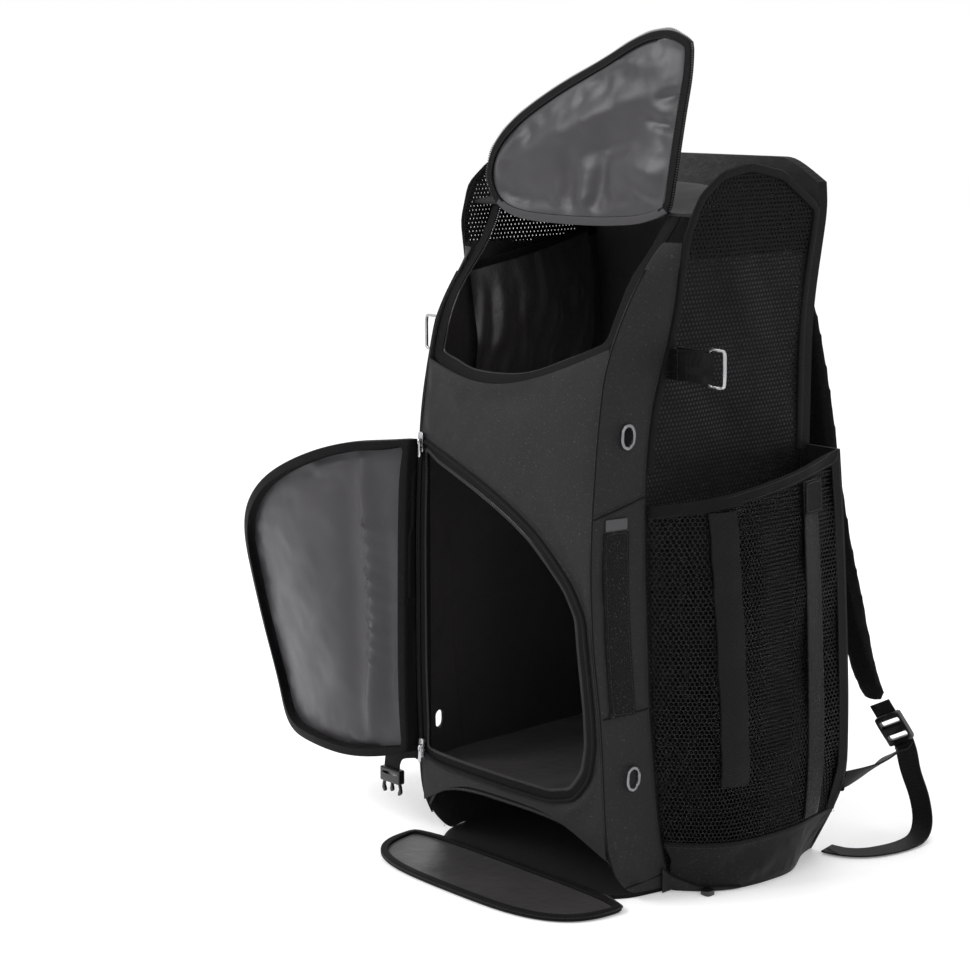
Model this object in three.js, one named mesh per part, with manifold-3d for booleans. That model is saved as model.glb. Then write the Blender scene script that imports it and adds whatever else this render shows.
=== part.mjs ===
import * as THREE from 'three';
import * as BufferGeometryUtils from 'three/addons/utils/BufferGeometryUtils.js';
import Module from 'manifold-3d';

// A tall baseball bat backpack, standing open: top flap raised, front door swung to the left
// and shoe door folded down on the floor.
// Millimetres. X runs to the right seen from the front, Y from front to back, Z up.
// The origin is the centre of the base, on the floor.

const wasm = await Module();
wasm.setup();

// Body
const bodyWidth = 280;          // front seam to front seam
const sideWidth = 300;          // across the two side walls
const bodyDepth = 290;          // front line of the base to the outer face of the back
const bodyHeight = 750;         // floor to the top of the back
const frontCrown = 9;           // how far the front panel swells between its seams
const wall = 2;                 // cloth walls
const fit = 0.3;                // gap between pieces that meet
const ease = 1.2;               // gap under a flat piece that lies on a curved one
const baseThickness = 4;
const baseCorner = 16;          // rounded front corners of the base
const backThickness = 14;       // padded back
const backCornerRadius = 45;
const backLowerRadius = 6;
const shelfHeight = 90;         // shoe shelf above the floor
const shelfThickness = 3;
const sideFlare = 20;           // how far the mesh sides lean out at their top
const flareStart = 560;

// Top opening and its flap
const hingeHeight = 700;
const hingeDepth = 92;          // flap hinge behind the front line
const lipHeight = 523;          // middle of the front lip
const yokeThickness = 3;
const yokeCrown = 8;
const tapeWidth = 12;           // zip tape
const tapeThickness = 1.5;
const rimCorner = 6;            // where the rim tape turns from the lip to a side
const flapWidth = 262;
const flapLength = 172;
const flapThickness = 4;
const flapLean = 22;            // how far the flap's tip leans back
const flapCurl = 16;            // how far its left corner comes forward
const bindingWidth = 9;         // bound edges of the flap and doors
const bindingThickness = 6;

// Front door
const doorWidth = 266;
const doorBottom = 98;
const doorHeight = 354;
const doorHinge = -134;         // hinge line, from the middle
const doorThickness = 4;
const doorBow = 28;             // how far the open door bows forward
const doorStretch = 0.08;       // the slack door hangs this much taller than its opening
const doorStretchRun = 0.35;    // share of its width over which it grows
const doorTwistStart = 72;      // height above its foot at which the door starts to turn
const doorTwistRun = 200;
const doorSwingLow = -4;        // degrees from straight out to the left, at the foot
const doorSwingHigh = 8;        // the same near the top

// Shoe opening and its door on the floor
const shoeArchHeight = 86;
const shoeCornerHeight = 37;
const shoeDoorReach = 95;
const shoeDoorHalfWidth = 163;
const shoeDoorThickness = 3;
const shoeCutBack = 24;         // how far the opening runs back along each gusset
const gussetTopWidth = 6;       // each gusset ends where it narrows to this

// Side sleeves
const sleeveBulge = 60;         // how far each sleeve stands off the side wall
const hemHeight = 447;          // top of the hem at the back
const hemRise = 34;             // the hem climbs this much towards the back
const hemWidth = 13;
const hemLift = 1.5;
const bootHeight = 55;
const sleeveBackThickness = 3;
const webbingWidth = 30;
const webbingThickness = 1.5;
const webbingFoot = 118;
const webbingDepth = 97;        // behind the front line, at the hem
const webbingDrift = 20;        // further back at its foot
const rearBandWidth = 26;
const rearBandDepth = 225;
const rearBandDrift = 12;
const hookTabWidth = 32;
const hookTabHeight = 34;
const hookTabDepth = 229;
const footWidth = 12;
const footHeight = 5;
const footShare = 0.09;         // place of the foot along the sleeve

// Small parts on the gussets
const eyeletWidth = 20;
const eyeletHeight = 27;
const eyeletRing = 3.5;
const eyeletThickness = 2;
const eyeletUpper = 485;
const eyeletLower = 132;
const eyeletShare = 0.52;       // across the gusset from its front seam
const gripStripWidth = 30;
const gripStripTop = 392;
const gripStripFoot = 200;
const gripStripShare = 0.42;
const tagHeight = 12;

// Retaining straps beside the top opening
const retainerHeight = 553;
const retainerWidth = 31;
const retainerReach = 54;
const loopHeight = 40;
const loopWidth = 22;
const loopWire = 3;
const retainerSetBack = 12;     // strap behind the mesh side's front edge
const retainerSpread = 4;       // how far its two sewn ends stand apart

// Shoulder straps
const padWidth = 62;
const padThickness = 13;
const strapWidth = 25;
const strapThickness = 1.8;
const tailLevelShare = 0.3;
const ladderLength = 36;
const ladderWidth = 32;
const ladderThickness = 7;
const ladderSlot = 6;
const padTailLength = 16;       // webbing between each pad and its adjuster
const strapStandoff = 100;      // depth behind the back in which the straps hang
const strapTurn = 0.33;         // how far the straps turn inwards as they hang
const anchorHeight = 85;
const anchorAcross = 193;       // from the middle of the bag
const anchorTabWidth = 31;
const anchorTabHeight = 22;
const anchorTabThickness = 3;

// Trim
const sliderLength = 22;
const sliderWidth = 7;
const sliderThickness = 4;
const buckleWidth = 34;
const buckleLength = 30;
const buckleThickness = 9;
const buckleHeight = 52;        // middle of the hanging buckle
const buckleAcross = 202;       // from the middle of the bag
const buckleSewnHeight = 100;   // where its webbing leaves the gusset
const buckleSewnDepth = 8;

const frontLine = -bodyDepth / 2;
const backFace = bodyDepth / 2;
const backInner = backFace - backThickness;
const halfBody = bodyWidth / 2;
const halfSide = sideWidth / 2;
const hinge = frontLine + hingeDepth;
const floorTop = baseThickness + fit;
const sideRows = 20;

// Front seams in side view. height: share of bodyHeight. right, left: depth behind the
// front line, as shares of bodyDepth.
const frontSeam = [
  { height: 0.000, right: 0.040, left: 0.040 },
  { height: 0.029, right: 0.024, left: 0.020 },
  { height: 0.069, right: -0.010, left: -0.030 },
  { height: 0.261, right: -0.045, left: -0.050 },
  { height: 0.365, right: -0.086, left: -0.049 },
  { height: 0.467, right: -0.103, left: -0.048 },
  { height: 0.541, right: -0.097, left: -0.043 },
  { height: 0.660, right: -0.072, left: -0.018 },
  { height: 0.737, right: -0.041, left: 0.027 },
  { height: 0.767, right: -0.007, left: 0.044 },
  { height: 0.809, right: 0.052, left: 0.100 },
  { height: 0.851, right: 0.114, left: 0.190 },
  { height: 0.883, right: 0.200, left: 0.262 },
  { height: 0.933, right: 0.310, left: 0.330 },
];

// Rear seam of each gusset, which is the front edge of the mesh side above it.
const gussetSeam = [
  { height: 0.000, depth: 0.280 },
  { height: 0.029, depth: 0.272 },
  { height: 0.076, depth: 0.228 },
  { height: 0.165, depth: 0.197 },
  { height: 0.268, depth: 0.166 },
  { height: 0.365, depth: 0.152 },
  { height: 0.476, depth: 0.134 },
  { height: 0.551, depth: 0.131 },
  { height: 0.615, depth: 0.134 },
  { height: 0.679, depth: 0.159 },
  { height: 0.733, depth: 0.203 },
  { height: 0.763, depth: 0.231 },
  { height: 0.800, depth: 0.253 },
  { height: 1.000, depth: 0.253 },
];

// Front lip of the top opening. across: share of bodyWidth from the middle. rise: share of
// lipHeight.
const lipLine = [
  { across: -0.50, rise: 1.027 },
  { across: -0.40, rise: 1.015 },
  { across: -0.23, rise: 0.995 },
  { across: 0.02, rise: 1.000 },
  { across: 0.17, rise: 1.019 },
  { across: 0.37, rise: 1.061 },
  { across: 0.50, rise: 1.096 },
];

// Top edge of each mesh side. depth: share of bodyDepth. height: share of bodyHeight.
const sideTop = [
  { depth: 0.253, height: 0.905 },
  { depth: 0.275, height: 0.945 },
  { depth: 0.345, height: 0.975 },
  { depth: 0.470, height: 1.000 },
  { depth: 0.690, height: 0.997 },
  { depth: 0.952, height: 0.935 },
];

// Front door opening, as shares of doorWidth and doorHeight, hinge side first.
const doorCurve = {
  topBend: [0.684, 0.884],
  shoulder: [0.861, 0.726],
  shoulderBend: [0.985, 0.650],
  sideTop: [1.000, 0.560],
  sideFoot: [1.000, 0.232],
  footBend: [1.000, 0.000],
  foot: [0.759, -0.003],
};

// Flap outline seen from the front. across: share of flapWidth from the middle. rise: share
// of flapLength above the hinge.
const flapOutline = [
  { across: 0.470, rise: 0.030 },
  { across: 0.488, rise: 0.340 },
  { across: 0.500, rise: 0.630 },
  { across: 0.510, rise: 0.880 },
  { across: 0.490, rise: 0.955 },
  { across: 0.430, rise: 0.992 },
  { across: 0.350, rise: 0.995 },
  { across: 0.240, rise: 0.945 },
  { across: 0.100, rise: 0.835 },
  { across: -0.060, rise: 0.725 },
  { across: -0.215, rise: 0.600 },
  { across: -0.370, rise: 0.450 },
  { across: -0.470, rise: 0.290 },
  { across: -0.495, rise: 0.180 },
  { across: -0.480, rise: 0.060 },
  { across: -0.400, rise: -0.020 },
  { across: -0.250, rise: -0.050 },
  { across: -0.050, rise: -0.055 },
  { across: 0.150, rise: -0.050 },
  { across: 0.350, rise: -0.025 },
];

// Sleeve wall in plan. along: share of the way from gusset seam to back. out: share of the
// sleeve's bulge.
const sleevePlan = [
  { along: 0.00, out: 0.05 },
  { along: 0.05, out: 0.30 },
  { along: 0.13, out: 0.62 },
  { along: 0.25, out: 0.86 },
  { along: 0.42, out: 0.98 },
  { along: 0.60, out: 1.00 },
  { along: 0.80, out: 1.00 },
  { along: 1.00, out: 1.00 },
];

// Sleeve bulge by height, a share of hemHeight. middle, rear: shares of sleeveBulge at the
// sleeve's middle and at its rear edge.
const sleeveBulges = [
  { height: 0.000, middle: 0.84, rear: 0.26 },
  { height: 0.027, middle: 0.90, rear: 0.34 },
  { height: 0.067, middle: 0.96, rear: 0.52 },
  { height: 0.116, middle: 0.99, rear: 0.74 },
  { height: 0.201, middle: 1.03, rear: 1.03 },
  { height: 0.396, middle: 1.05, rear: 1.01 },
  { height: 0.640, middle: 1.01, rear: 0.90 },
  { height: 0.830, middle: 0.95, rear: 0.79 },
  { height: 1.000, middle: 0.90, rear: 0.65 },
];

// Middle line of the right shoulder pad, from its top end down. across: share of half the
// sideWidth. out: share of strapStandoff behind the back. up: share of bodyHeight. The two
// strap tables below have the same columns.
const padRoute = [
  { across: 0.507, out: 0.067, up: 0.955 },
  { across: 0.560, out: 0.20, up: 0.891 },
  { across: 0.653, out: 0.35, up: 0.800 },
  { across: 0.773, out: 0.45, up: 0.667 },
  { across: 0.867, out: 0.51, up: 0.533 },
  { across: 0.947, out: 0.58, up: 0.427 },
  { across: 1.047, out: 0.69, up: 0.333 },
  { across: 1.127, out: 0.80, up: 0.260 },
  { across: 1.167, out: 0.85, up: 0.224 },
  { across: 1.220, out: 0.92, up: 0.201 },
];

// Webbing between the adjuster and the anchor.
const lowerStrapRoute = [
  { across: 1.353, out: 0.90, up: 0.127 },
  { across: 1.387, out: 0.60, up: 0.121 },
  { across: 1.387, out: 0.27, up: 0.116 },
];

// Free tail, which hangs from the adjuster and lies on the floor.
const tailRoute = [
  { across: 1.380, out: 1.215, up: 0.0947 },
  { across: 1.447, out: 1.250, up: 0.0587 },
  { across: 1.513, out: 1.200, up: 0.0240 },
  { across: 1.557, out: 1.040, up: 0.0073 },
  { across: 1.567, out: 0.790, up: 0.0035 },
  { across: 1.540, out: 0.500, up: 0.0032 },
  { across: 1.473, out: 0.250, up: 0.0032 },
  { across: 1.360, out: 0.100, up: 0.0032 },
  { across: 1.227, out: 0.060, up: 0.0032 },
];

const finishes = {
  shell: { color: 0x2b2b2d, roughness: 0.8, metalness: 0 },
  boot: { color: 0x262628, roughness: 0.85, metalness: 0 },
  lining: { color: 0x4c4a4f, roughness: 0.45, metalness: 0 },
  mesh: { color: 0x1c1c1e, roughness: 0.9, metalness: 0 },
  binding: { color: 0x161617, roughness: 0.75, metalness: 0 },
  webbing: { color: 0x1a1a1b, roughness: 0.7, metalness: 0 },
  metal: { color: 0xa8a8aa, roughness: 0.3, metalness: 1 },
  plastic: { color: 0x121213, roughness: 0.4, metalness: 0 },
};

const bag = new THREE.Group();

// Adds one named piece to the bag.
function add(name, geometry, finish) {
  const mesh = new THREE.Mesh(geometry, new THREE.MeshStandardMaterial(finishes[finish]));
  mesh.name = name;
  bag.add(mesh);
  return mesh;
}

// Reads one column of a table, on straight lines between its rows.
function read(table, key, at, column) {
  const last = table.length - 1;
  if (at <= table[0][key]) return table[0][column];
  if (at >= table[last][key]) return table[last][column];
  const next = table.findIndex((row) => row[key] >= at);
  const low = table[next - 1];
  const high = table[next];
  const share = (at - low[key]) / (high[key] - low[key]);
  return THREE.MathUtils.lerp(low[column], high[column], share);
}

// Shapes of the body
function seamDepth(z, sign) {
  const column = sign > 0 ? 'right' : 'left';
  return frontLine + bodyDepth * read(frontSeam, 'height', z / bodyHeight, column);
}

function rearSeamDepth(z) {
  return frontLine + bodyDepth * read(gussetSeam, 'height', z / bodyHeight, 'depth');
}

function frontDepth(x, z) {
  const across = x / bodyWidth + 0.5;
  const seam = THREE.MathUtils.lerp(seamDepth(z, -1), seamDepth(z, 1), across);
  const crown = frontCrown * (1 - (2 * x / bodyWidth) ** 2);
  return seam - crown;
}

function sideReach(z) {
  const share = THREE.MathUtils.smoothstep(z, flareStart, bodyHeight);
  return halfSide + sideFlare * share;
}

function lipTop(x) {
  return lipHeight * read(lipLine, 'across', x / bodyWidth, 'rise');
}

function shoeArch(x) {
  const share = Math.min(1, Math.abs(x) / halfBody);
  return shoeCornerHeight + (shoeArchHeight - shoeCornerHeight) * Math.sqrt(1 - share ** 3);
}

function sideTopHeight(y) {
  return bodyHeight * read(sideTop, 'depth', (y - frontLine) / bodyDepth, 'height');
}

function sleeveReach(z, share) {
  const out = read(sleevePlan, 'along', share, 'out');
  const middle = read(sleeveBulges, 'height', z / hemHeight, 'middle');
  const rear = read(sleeveBulges, 'height', z / hemHeight, 'rear');
  const bulge = THREE.MathUtils.lerp(middle, rear, THREE.MathUtils.smoothstep(share, 0.6, 1));
  return halfSide + 2 * fit + wall + sleeveBulge * out * bulge;
}

const sleeveEnd = backFace - sleeveBackThickness - fit;

function sleeveDepth(z, share) {
  return THREE.MathUtils.lerp(rearSeamDepth(z) + fit, sleeveEnd, share);
}

function sleeveShare(z, y) {
  const start = rearSeamDepth(z) + fit;
  return (y - start) / (sleeveEnd - start);
}

function hemTop(share) {
  return hemHeight - hemRise * (1 - share);
}

// Builds a geometry from corner points and triangles, with its faces turned outwards.
function closedBody(points, triangles) {
  let volume = 0;
  for (const [a, b, c] of triangles) {
    volume += points[a].dot(new THREE.Vector3().crossVectors(points[b], points[c]));
  }
  const outward = volume > 0 ? triangles : triangles.map(([a, b, c]) => [a, c, b]);
  const geometry = new THREE.BufferGeometry();
  geometry.setAttribute('position', new THREE.Float32BufferAttribute(
    points.flatMap((point) => point.toArray()), 3));
  geometry.setIndex(outward.flat());
  geometry.computeVertexNormals();
  return geometry;
}

// A thick sheet over a grid. outer and inner give its two faces from shares 0 to 1.
function gridSheet(rows, columns, outer, inner) {
  const points = [];
  const triangles = [];
  const across = columns + 1;
  const layer = (rows + 1) * across;
  for (const face of [outer, inner]) {
    for (let i = 0; i <= rows; i += 1) {
      for (let j = 0; j <= columns; j += 1) {
        points.push(face(i / rows, j / columns));
      }
    }
  }
  const quad = (a, b, c, d) => triangles.push([a, b, c], [a, c, d]);
  for (let i = 0; i < rows; i += 1) {
    for (let j = 0; j < columns; j += 1) {
      const a = i * across + j;
      quad(a, a + 1, a + across + 1, a + across);
      quad(layer + a, layer + a + across, layer + a + across + 1, layer + a + 1);
    }
  }
  for (let i = 0; i < rows; i += 1) {
    const a = i * across;
    quad(a + across, layer + a + across, layer + a, a);
    const b = a + columns;
    quad(b, layer + b, layer + b + across, b + across);
  }
  for (let j = 0; j < columns; j += 1) {
    quad(j, layer + j, layer + j + 1, j + 1);
    const b = rows * across + j;
    quad(b + 1, layer + b + 1, layer + b, b);
  }
  return closedBody(points, triangles);
}

// A thick sheet between two flat loops of as many points, or from one loop to its centre.
function loopSheet(outerLoop, innerLoop, rings, outer, inner) {
  const count = outerLoop.length;
  const points = [];
  const triangles = [];
  const centre = outerLoop.reduce((sum, [u, v]) => [sum[0] + u / count, sum[1] + v / count], [0, 0]);
  const start = innerLoop ? 0 : 1;
  const rows = rings - start + 1;
  const layer = rows * count;
  for (const face of [outer, inner]) {
    for (let k = start; k <= rings; k += 1) {
      for (let n = 0; n < count; n += 1) {
        const from = innerLoop ? innerLoop[n] : centre;
        const u = THREE.MathUtils.lerp(from[0], outerLoop[n][0], k / rings);
        const v = THREE.MathUtils.lerp(from[1], outerLoop[n][1], k / rings);
        points.push(face(u, v));
      }
    }
  }
  const quad = (a, b, c, d) => triangles.push([a, b, c], [a, c, d]);
  for (let k = 0; k < rows - 1; k += 1) {
    for (let n = 0; n < count; n += 1) {
      const m = (n + 1) % count;
      const a = k * count;
      quad(a + n, a + m, a + count + m, a + count + n);
      quad(layer + a + n, layer + a + count + n, layer + a + count + m, layer + a + m);
    }
  }
  const rim = (rows - 1) * count;
  for (let n = 0; n < count; n += 1) {
    const m = (n + 1) % count;
    quad(rim + n, rim + m, layer + rim + m, layer + rim + n);
    if (innerLoop) quad(m, n, layer + n, layer + m);
  }
  if (!innerLoop) {
    points.push(outer(centre[0], centre[1]), inner(centre[0], centre[1]));
    const hub = 2 * layer;
    for (let n = 0; n < count; n += 1) {
      const m = (n + 1) % count;
      triangles.push([hub, m, n], [hub + 1, layer + n, layer + m]);
    }
  }
  return closedBody(points, triangles);
}

// A closed body through rings of as many points, capped at both ends.
function loft(rings) {
  const count = rings[0].length;
  const points = rings.flat();
  const triangles = [];
  for (let k = 0; k < rings.length - 1; k += 1) {
    for (let n = 0; n < count; n += 1) {
      const m = (n + 1) % count;
      const a = k * count;
      triangles.push([a + n, a + m, a + count + m], [a + n, a + count + m, a + count + n]);
    }
  }
  const last = (rings.length - 1) * count;
  for (let n = 1; n < count - 1; n += 1) {
    triangles.push([0, n + 1, n], [last, last + n, last + n + 1]);
  }
  return closedBody(points, triangles);
}

// Path helpers
function vectors(route, sign = 1) {
  return route.map(([x, y, z]) => new THREE.Vector3(sign * x, y, z));
}

function behindBack(route, sign) {
  return route.map(({ across, out, up }) => new THREE.Vector3(
    sign * across * halfSide, backFace + out * strapStandoff, up * bodyHeight));
}

// A flat band along a route. across gives its width direction at each share of the route.
function ribbon(route, width, thickness, steps, across) {
  const curve = new THREE.CatmullRomCurve3(route);
  const place = (share, side, lift) => {
    const direction = across(share).clone();
    const tangent = curve.getTangentAt(share);
    direction.addScaledVector(tangent, -direction.dot(tangent)).normalize();
    const normal = new THREE.Vector3().crossVectors(tangent, direction).normalize();
    return curve.getPointAt(share)
      .addScaledVector(direction, side * width / 2)
      .addScaledVector(normal, lift * thickness / 2);
  };
  return gridSheet(steps, 1, (s, t) => place(s, 2 * t - 1, 1), (s, t) => place(s, 2 * t - 1, -1));
}

function ovalShape(width, height) {
  const shape = new THREE.Shape();
  const radius = width / 2;
  const straight = (height - width) / 2;
  shape.absarc(0, straight, radius, 0, Math.PI, false);
  shape.absarc(0, -straight, radius, Math.PI, 2 * Math.PI, false);
  return shape;
}

function roundedShape(width, height, radius) {
  const shape = new THREE.Shape();
  const x = width / 2 - radius;
  const y = height / 2 - radius;
  shape.absarc(x, y, radius, 0, Math.PI / 2, false);
  shape.absarc(-x, y, radius, Math.PI / 2, Math.PI, false);
  shape.absarc(-x, -y, radius, Math.PI, 1.5 * Math.PI, false);
  shape.absarc(x, -y, radius, 1.5 * Math.PI, 2 * Math.PI, false);
  return shape;
}

function hasHole(shape, hole) {
  shape.holes.push(new THREE.Path(hole.getPoints(4).reverse()));
  return shape;
}

function extruded(shape, depth, curveSegments = 4) {
  return new THREE.ExtrudeGeometry(shape, { depth, bevelEnabled: false, curveSegments });
}

// Boolean cut
function toSolid(geometry) {
  const bare = geometry.clone();
  bare.deleteAttribute('normal');
  bare.deleteAttribute('uv');
  const merged = BufferGeometryUtils.mergeVertices(bare, 1e-4);
  return new wasm.Manifold(new wasm.Mesh({
    numProp: 3,
    vertProperties: new Float32Array(merged.attributes.position.array),
    triVerts: new Uint32Array(merged.index.array),
  }));
}

function cut(geometry, cutters) {
  const solid = cutters.reduce((body, cutter) => body.subtract(toSolid(cutter)), toSolid(geometry));
  const mesh = solid.getMesh();
  const result = new THREE.BufferGeometry();
  result.setAttribute('position', new THREE.BufferAttribute(mesh.vertProperties, 3));
  result.setIndex(new THREE.BufferAttribute(mesh.triVerts, 1));
  result.computeVertexNormals();
  return result;
}

// Outline of the front door opening: distance from the hinge, and height.
function doorOutline(divisions) {
  const at = ([u, v]) => [u * doorWidth, doorBottom + v * doorHeight];
  const path = new THREE.Shape();
  path.moveTo(0, doorBottom + doorHeight);
  path.quadraticCurveTo(...at(doorCurve.topBend), ...at(doorCurve.shoulder));
  path.quadraticCurveTo(...at(doorCurve.shoulderBend), ...at(doorCurve.sideTop));
  path.lineTo(...at(doorCurve.sideFoot));
  path.quadraticCurveTo(...at(doorCurve.footBend), ...at(doorCurve.foot));
  path.lineTo(0, doorBottom);
  path.closePath();
  return path.getSpacedPoints(divisions).slice(0, divisions).map(({ x, y }) => [x, y]);
}

// Moves each point of a loop inwards along the loop's own normal.
function inset(loop, distance) {
  const count = loop.length;
  return loop.map(([u, v], n) => {
    const before = loop[(n + count - 1) % count];
    const after = loop[(n + 1) % count];
    const run = Math.hypot(after[0] - before[0], after[1] - before[1]);
    const normal = [(before[1] - after[1]) / run, (after[0] - before[0]) / run];
    return [u + turn(loop) * distance * normal[0], v + turn(loop) * distance * normal[1]];
  });
}

// 1 for a loop that runs anticlockwise, -1 for one that runs clockwise.
function turn(loop) {
  const area = loop.reduce((sum, [u, v], n) => {
    const [s, t] = loop[(n + 1) % loop.length];
    return sum + u * t - s * v;
  }, 0);
  return Math.sign(area);
}

const doorLoopCount = 32;
const openingLoop = doorOutline(doorLoopCount).map(([u, v]) => [doorHinge + u, v]);

// Where a ray from the middle of the door opening leaves the front panel.
function panelEdge([x, z]) {
  const edge = halfBody - wall - fit;
  const centre = [doorHinge + doorWidth / 2, doorBottom + doorHeight / 2];
  const at = (scale) => [centre[0] + (x - centre[0]) * scale, centre[1] + (z - centre[1]) * scale];
  const inside = ([u, v]) => Math.abs(u) <= edge && v <= lipTop(u) && v >= shoeArch(u);
  let low = 1;
  let high = 4;
  for (let pass = 0; pass < 30; pass += 1) {
    const middle = (low + high) / 2;
    if (inside(at(middle))) low = middle;
    else high = middle;
  }
  return at(low);
}

// Front panel, between the lip, the shoe arch and the gussets, round the door opening.
function frontPanel() {
  const edge = halfBody - wall - fit;
  const outerLoop = openingLoop.map(panelEdge);
  const corners = [-edge, edge].flatMap((x) => [[x, lipTop(x)], [x, shoeArch(x)]]);
  for (const corner of corners) {
    const gaps = outerLoop.map(([x, z]) => Math.hypot(x - corner[0], z - corner[1]));
    outerLoop[gaps.indexOf(Math.min(...gaps))] = corner;
  }
  const front = (x, z) => new THREE.Vector3(x, frontDepth(x, z), z);
  const back = (x, z) => new THREE.Vector3(x, frontDepth(x, z) + wall, z);
  return loopSheet(outerLoop, openingLoop, 3, front, back);
}

// Zip tape round the front door opening, inside the panel's edge.
function doorTape() {
  const front = (x, z) => new THREE.Vector3(x, frontDepth(x, z), z);
  const back = (x, z) => new THREE.Vector3(x, frontDepth(x, z) + tapeThickness, z);
  return loopSheet(inset(openingLoop, fit), inset(openingLoop, tapeWidth), 1, front, back);
}

// Front edge of a gusset. Below the shoe opening's corner it runs back to the floor.
function gussetFront(z, sign) {
  const cutShare = THREE.MathUtils.clamp((shoeCornerHeight - z) / shoeCornerHeight, 0, 1);
  return seamDepth(z, sign) + shoeCutBack * cutShare;
}

// Height at which the front seam and the mesh side run together and the gusset ends.
function gussetTop(sign) {
  let z = hingeHeight;
  while (rearSeamDepth(z) - seamDepth(z, sign) < gussetTopWidth) z -= 1;
  return z;
}

// Outer face of a gusset at height z and depth y, measured from the middle of the bag.
function gussetReach(z, y, sign) {
  const start = gussetFront(z, sign);
  const share = THREE.MathUtils.clamp((y - start) / (rearSeamDepth(z) - start), 0, 1);
  return THREE.MathUtils.lerp(halfBody, sideReach(z), share) + wall * Math.sin(Math.PI * share);
}

function sidePoint(sign, x, y, z) {
  return new THREE.Vector3(sign * x, y, z);
}

// Turns a flat piece, drawn in XY and thick along Z, to lie against a side of the bag.
function onSide(geometry, sign, x, y, z) {
  const turned = new THREE.Matrix4().makeBasis(
    new THREE.Vector3(0, sign, 0), new THREE.Vector3(0, 0, 1), new THREE.Vector3(sign, 0, 0));
  turned.setPosition(sign * x, y, z);
  return geometry.applyMatrix4(turned);
}

// Middle of an eyelet on a gusset, at a share of the gusset's depth.
function eyeletDepth(z, sign) {
  return THREE.MathUtils.lerp(gussetFront(z, sign), rearSeamDepth(z), eyeletShare);
}

// Heights of the rows that a gusset and the mesh side behind it share along their seam.
function sideLevel(n) {
  return THREE.MathUtils.lerp(floorTop, sideTopHeight(rearSeamDepth(bodyHeight)), n / sideRows);
}

function gusset(sign) {
  const top = gussetTop(sign);
  const levels = [];
  for (let n = 0; sideLevel(n) < top; n += 1) levels.push(sideLevel(n));
  levels.push(top);
  const rows = levels.length - 1;
  const depth = (z, t) => THREE.MathUtils.lerp(gussetFront(z, sign), rearSeamDepth(z) - fit, t);
  const face = (inwards) => (s, t) => {
    const z = levels[Math.round(s * rows)];
    const y = depth(z, t);
    return sidePoint(sign, gussetReach(z, y, sign) - inwards, y, z);
  };
  const sheet = gridSheet(rows, 3, face(0), face(wall));
  const cutDepth = 2 * (halfSide - halfBody) + sideFlare;
  const holes = [eyeletUpper, eyeletLower].map((z) => onSide(
    extruded(ovalShape(eyeletWidth - 2 * eyeletRing, eyeletHeight - 2 * eyeletRing), cutDepth),
    sign, halfBody - cutDepth / 2, eyeletDepth(z, sign), z));
  return cut(sheet, holes);
}

// Mesh side wall, from the gusset's rear seam to the padded back.
function sideWall(sign) {
  const end = backInner - fit;
  const face = (inwards) => (s, t) => {
    const share = t ** 1.6;
    const along = THREE.MathUtils.lerp(rearSeamDepth(bodyHeight), end, share);
    const z = THREE.MathUtils.lerp(floorTop, sideTopHeight(along), s);
    const y = THREE.MathUtils.lerp(rearSeamDepth(z), end, share);
    return sidePoint(sign, sideReach(z) - inwards, y, z);
  };
  return gridSheet(sideRows, 5, face(0), face(wall));
}

// Padded back: a flat panel whose sides follow the mesh sides.
function backPanel() {
  const shape = new THREE.Shape();
  const levels = 8;
  const straightTop = bodyHeight - backCornerRadius;
  shape.moveTo(-halfSide + backLowerRadius, floorTop);
  shape.lineTo(halfSide - backLowerRadius, floorTop);
  shape.quadraticCurveTo(halfSide, floorTop, halfSide, floorTop + backLowerRadius);
  for (let n = 0; n <= levels; n += 1) {
    const z = THREE.MathUtils.lerp(flareStart, straightTop, n / levels);
    shape.lineTo(sideReach(z), z);
  }
  const shoulder = sideReach(straightTop);
  shape.quadraticCurveTo(shoulder, bodyHeight, shoulder - backCornerRadius, bodyHeight);
  shape.lineTo(backCornerRadius - shoulder, bodyHeight);
  shape.quadraticCurveTo(-shoulder, bodyHeight, -shoulder, straightTop);
  for (let n = levels; n >= 0; n -= 1) {
    const z = THREE.MathUtils.lerp(flareStart, straightTop, n / levels);
    shape.lineTo(-sideReach(z), z);
  }
  shape.lineTo(-halfSide, floorTop + backLowerRadius);
  shape.quadraticCurveTo(-halfSide, floorTop, -halfSide + backLowerRadius, floorTop);
  const geometry = extruded(shape, backThickness);
  geometry.rotateX(Math.PI / 2);
  geometry.translate(0, backFace, 0);
  return geometry;
}

// Cloth top between the flap's hinge and the back.
function topYoke() {
  const face = (drop) => (s, t) => {
    const y = THREE.MathUtils.lerp(hinge, backInner - fit, s);
    const rise = THREE.MathUtils.lerp(hingeHeight, sideTopHeight(y) - 2 * yokeCrown, s);
    const half = sideReach(rise - yokeThickness) - wall - ease;
    const x = THREE.MathUtils.lerp(-half, half, t);
    const crown = yokeCrown * Math.sin(Math.PI * s) * Math.cos(Math.PI * (t - 0.5));
    return new THREE.Vector3(x, y, rise + crown - drop);
  };
  return gridSheet(5, 8, face(0), face(yokeThickness));
}

// Base plate, cut back at its front corners for the shoe opening.
function basePanel() {
  const shape = new THREE.Shape();
  const front = seamDepth(0, 1);
  shape.moveTo(-halfBody, front + baseCorner);
  shape.quadraticCurveTo(-halfBody, front, -halfBody + baseCorner, front);
  shape.lineTo(halfBody - baseCorner, front);
  shape.quadraticCurveTo(halfBody, front, halfBody, front + baseCorner);
  shape.lineTo(halfSide, rearSeamDepth(0));
  shape.lineTo(halfSide, backFace);
  shape.lineTo(-halfSide, backFace);
  shape.lineTo(-halfSide, rearSeamDepth(0));
  shape.closePath();
  return extruded(shape, baseThickness);
}

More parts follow.
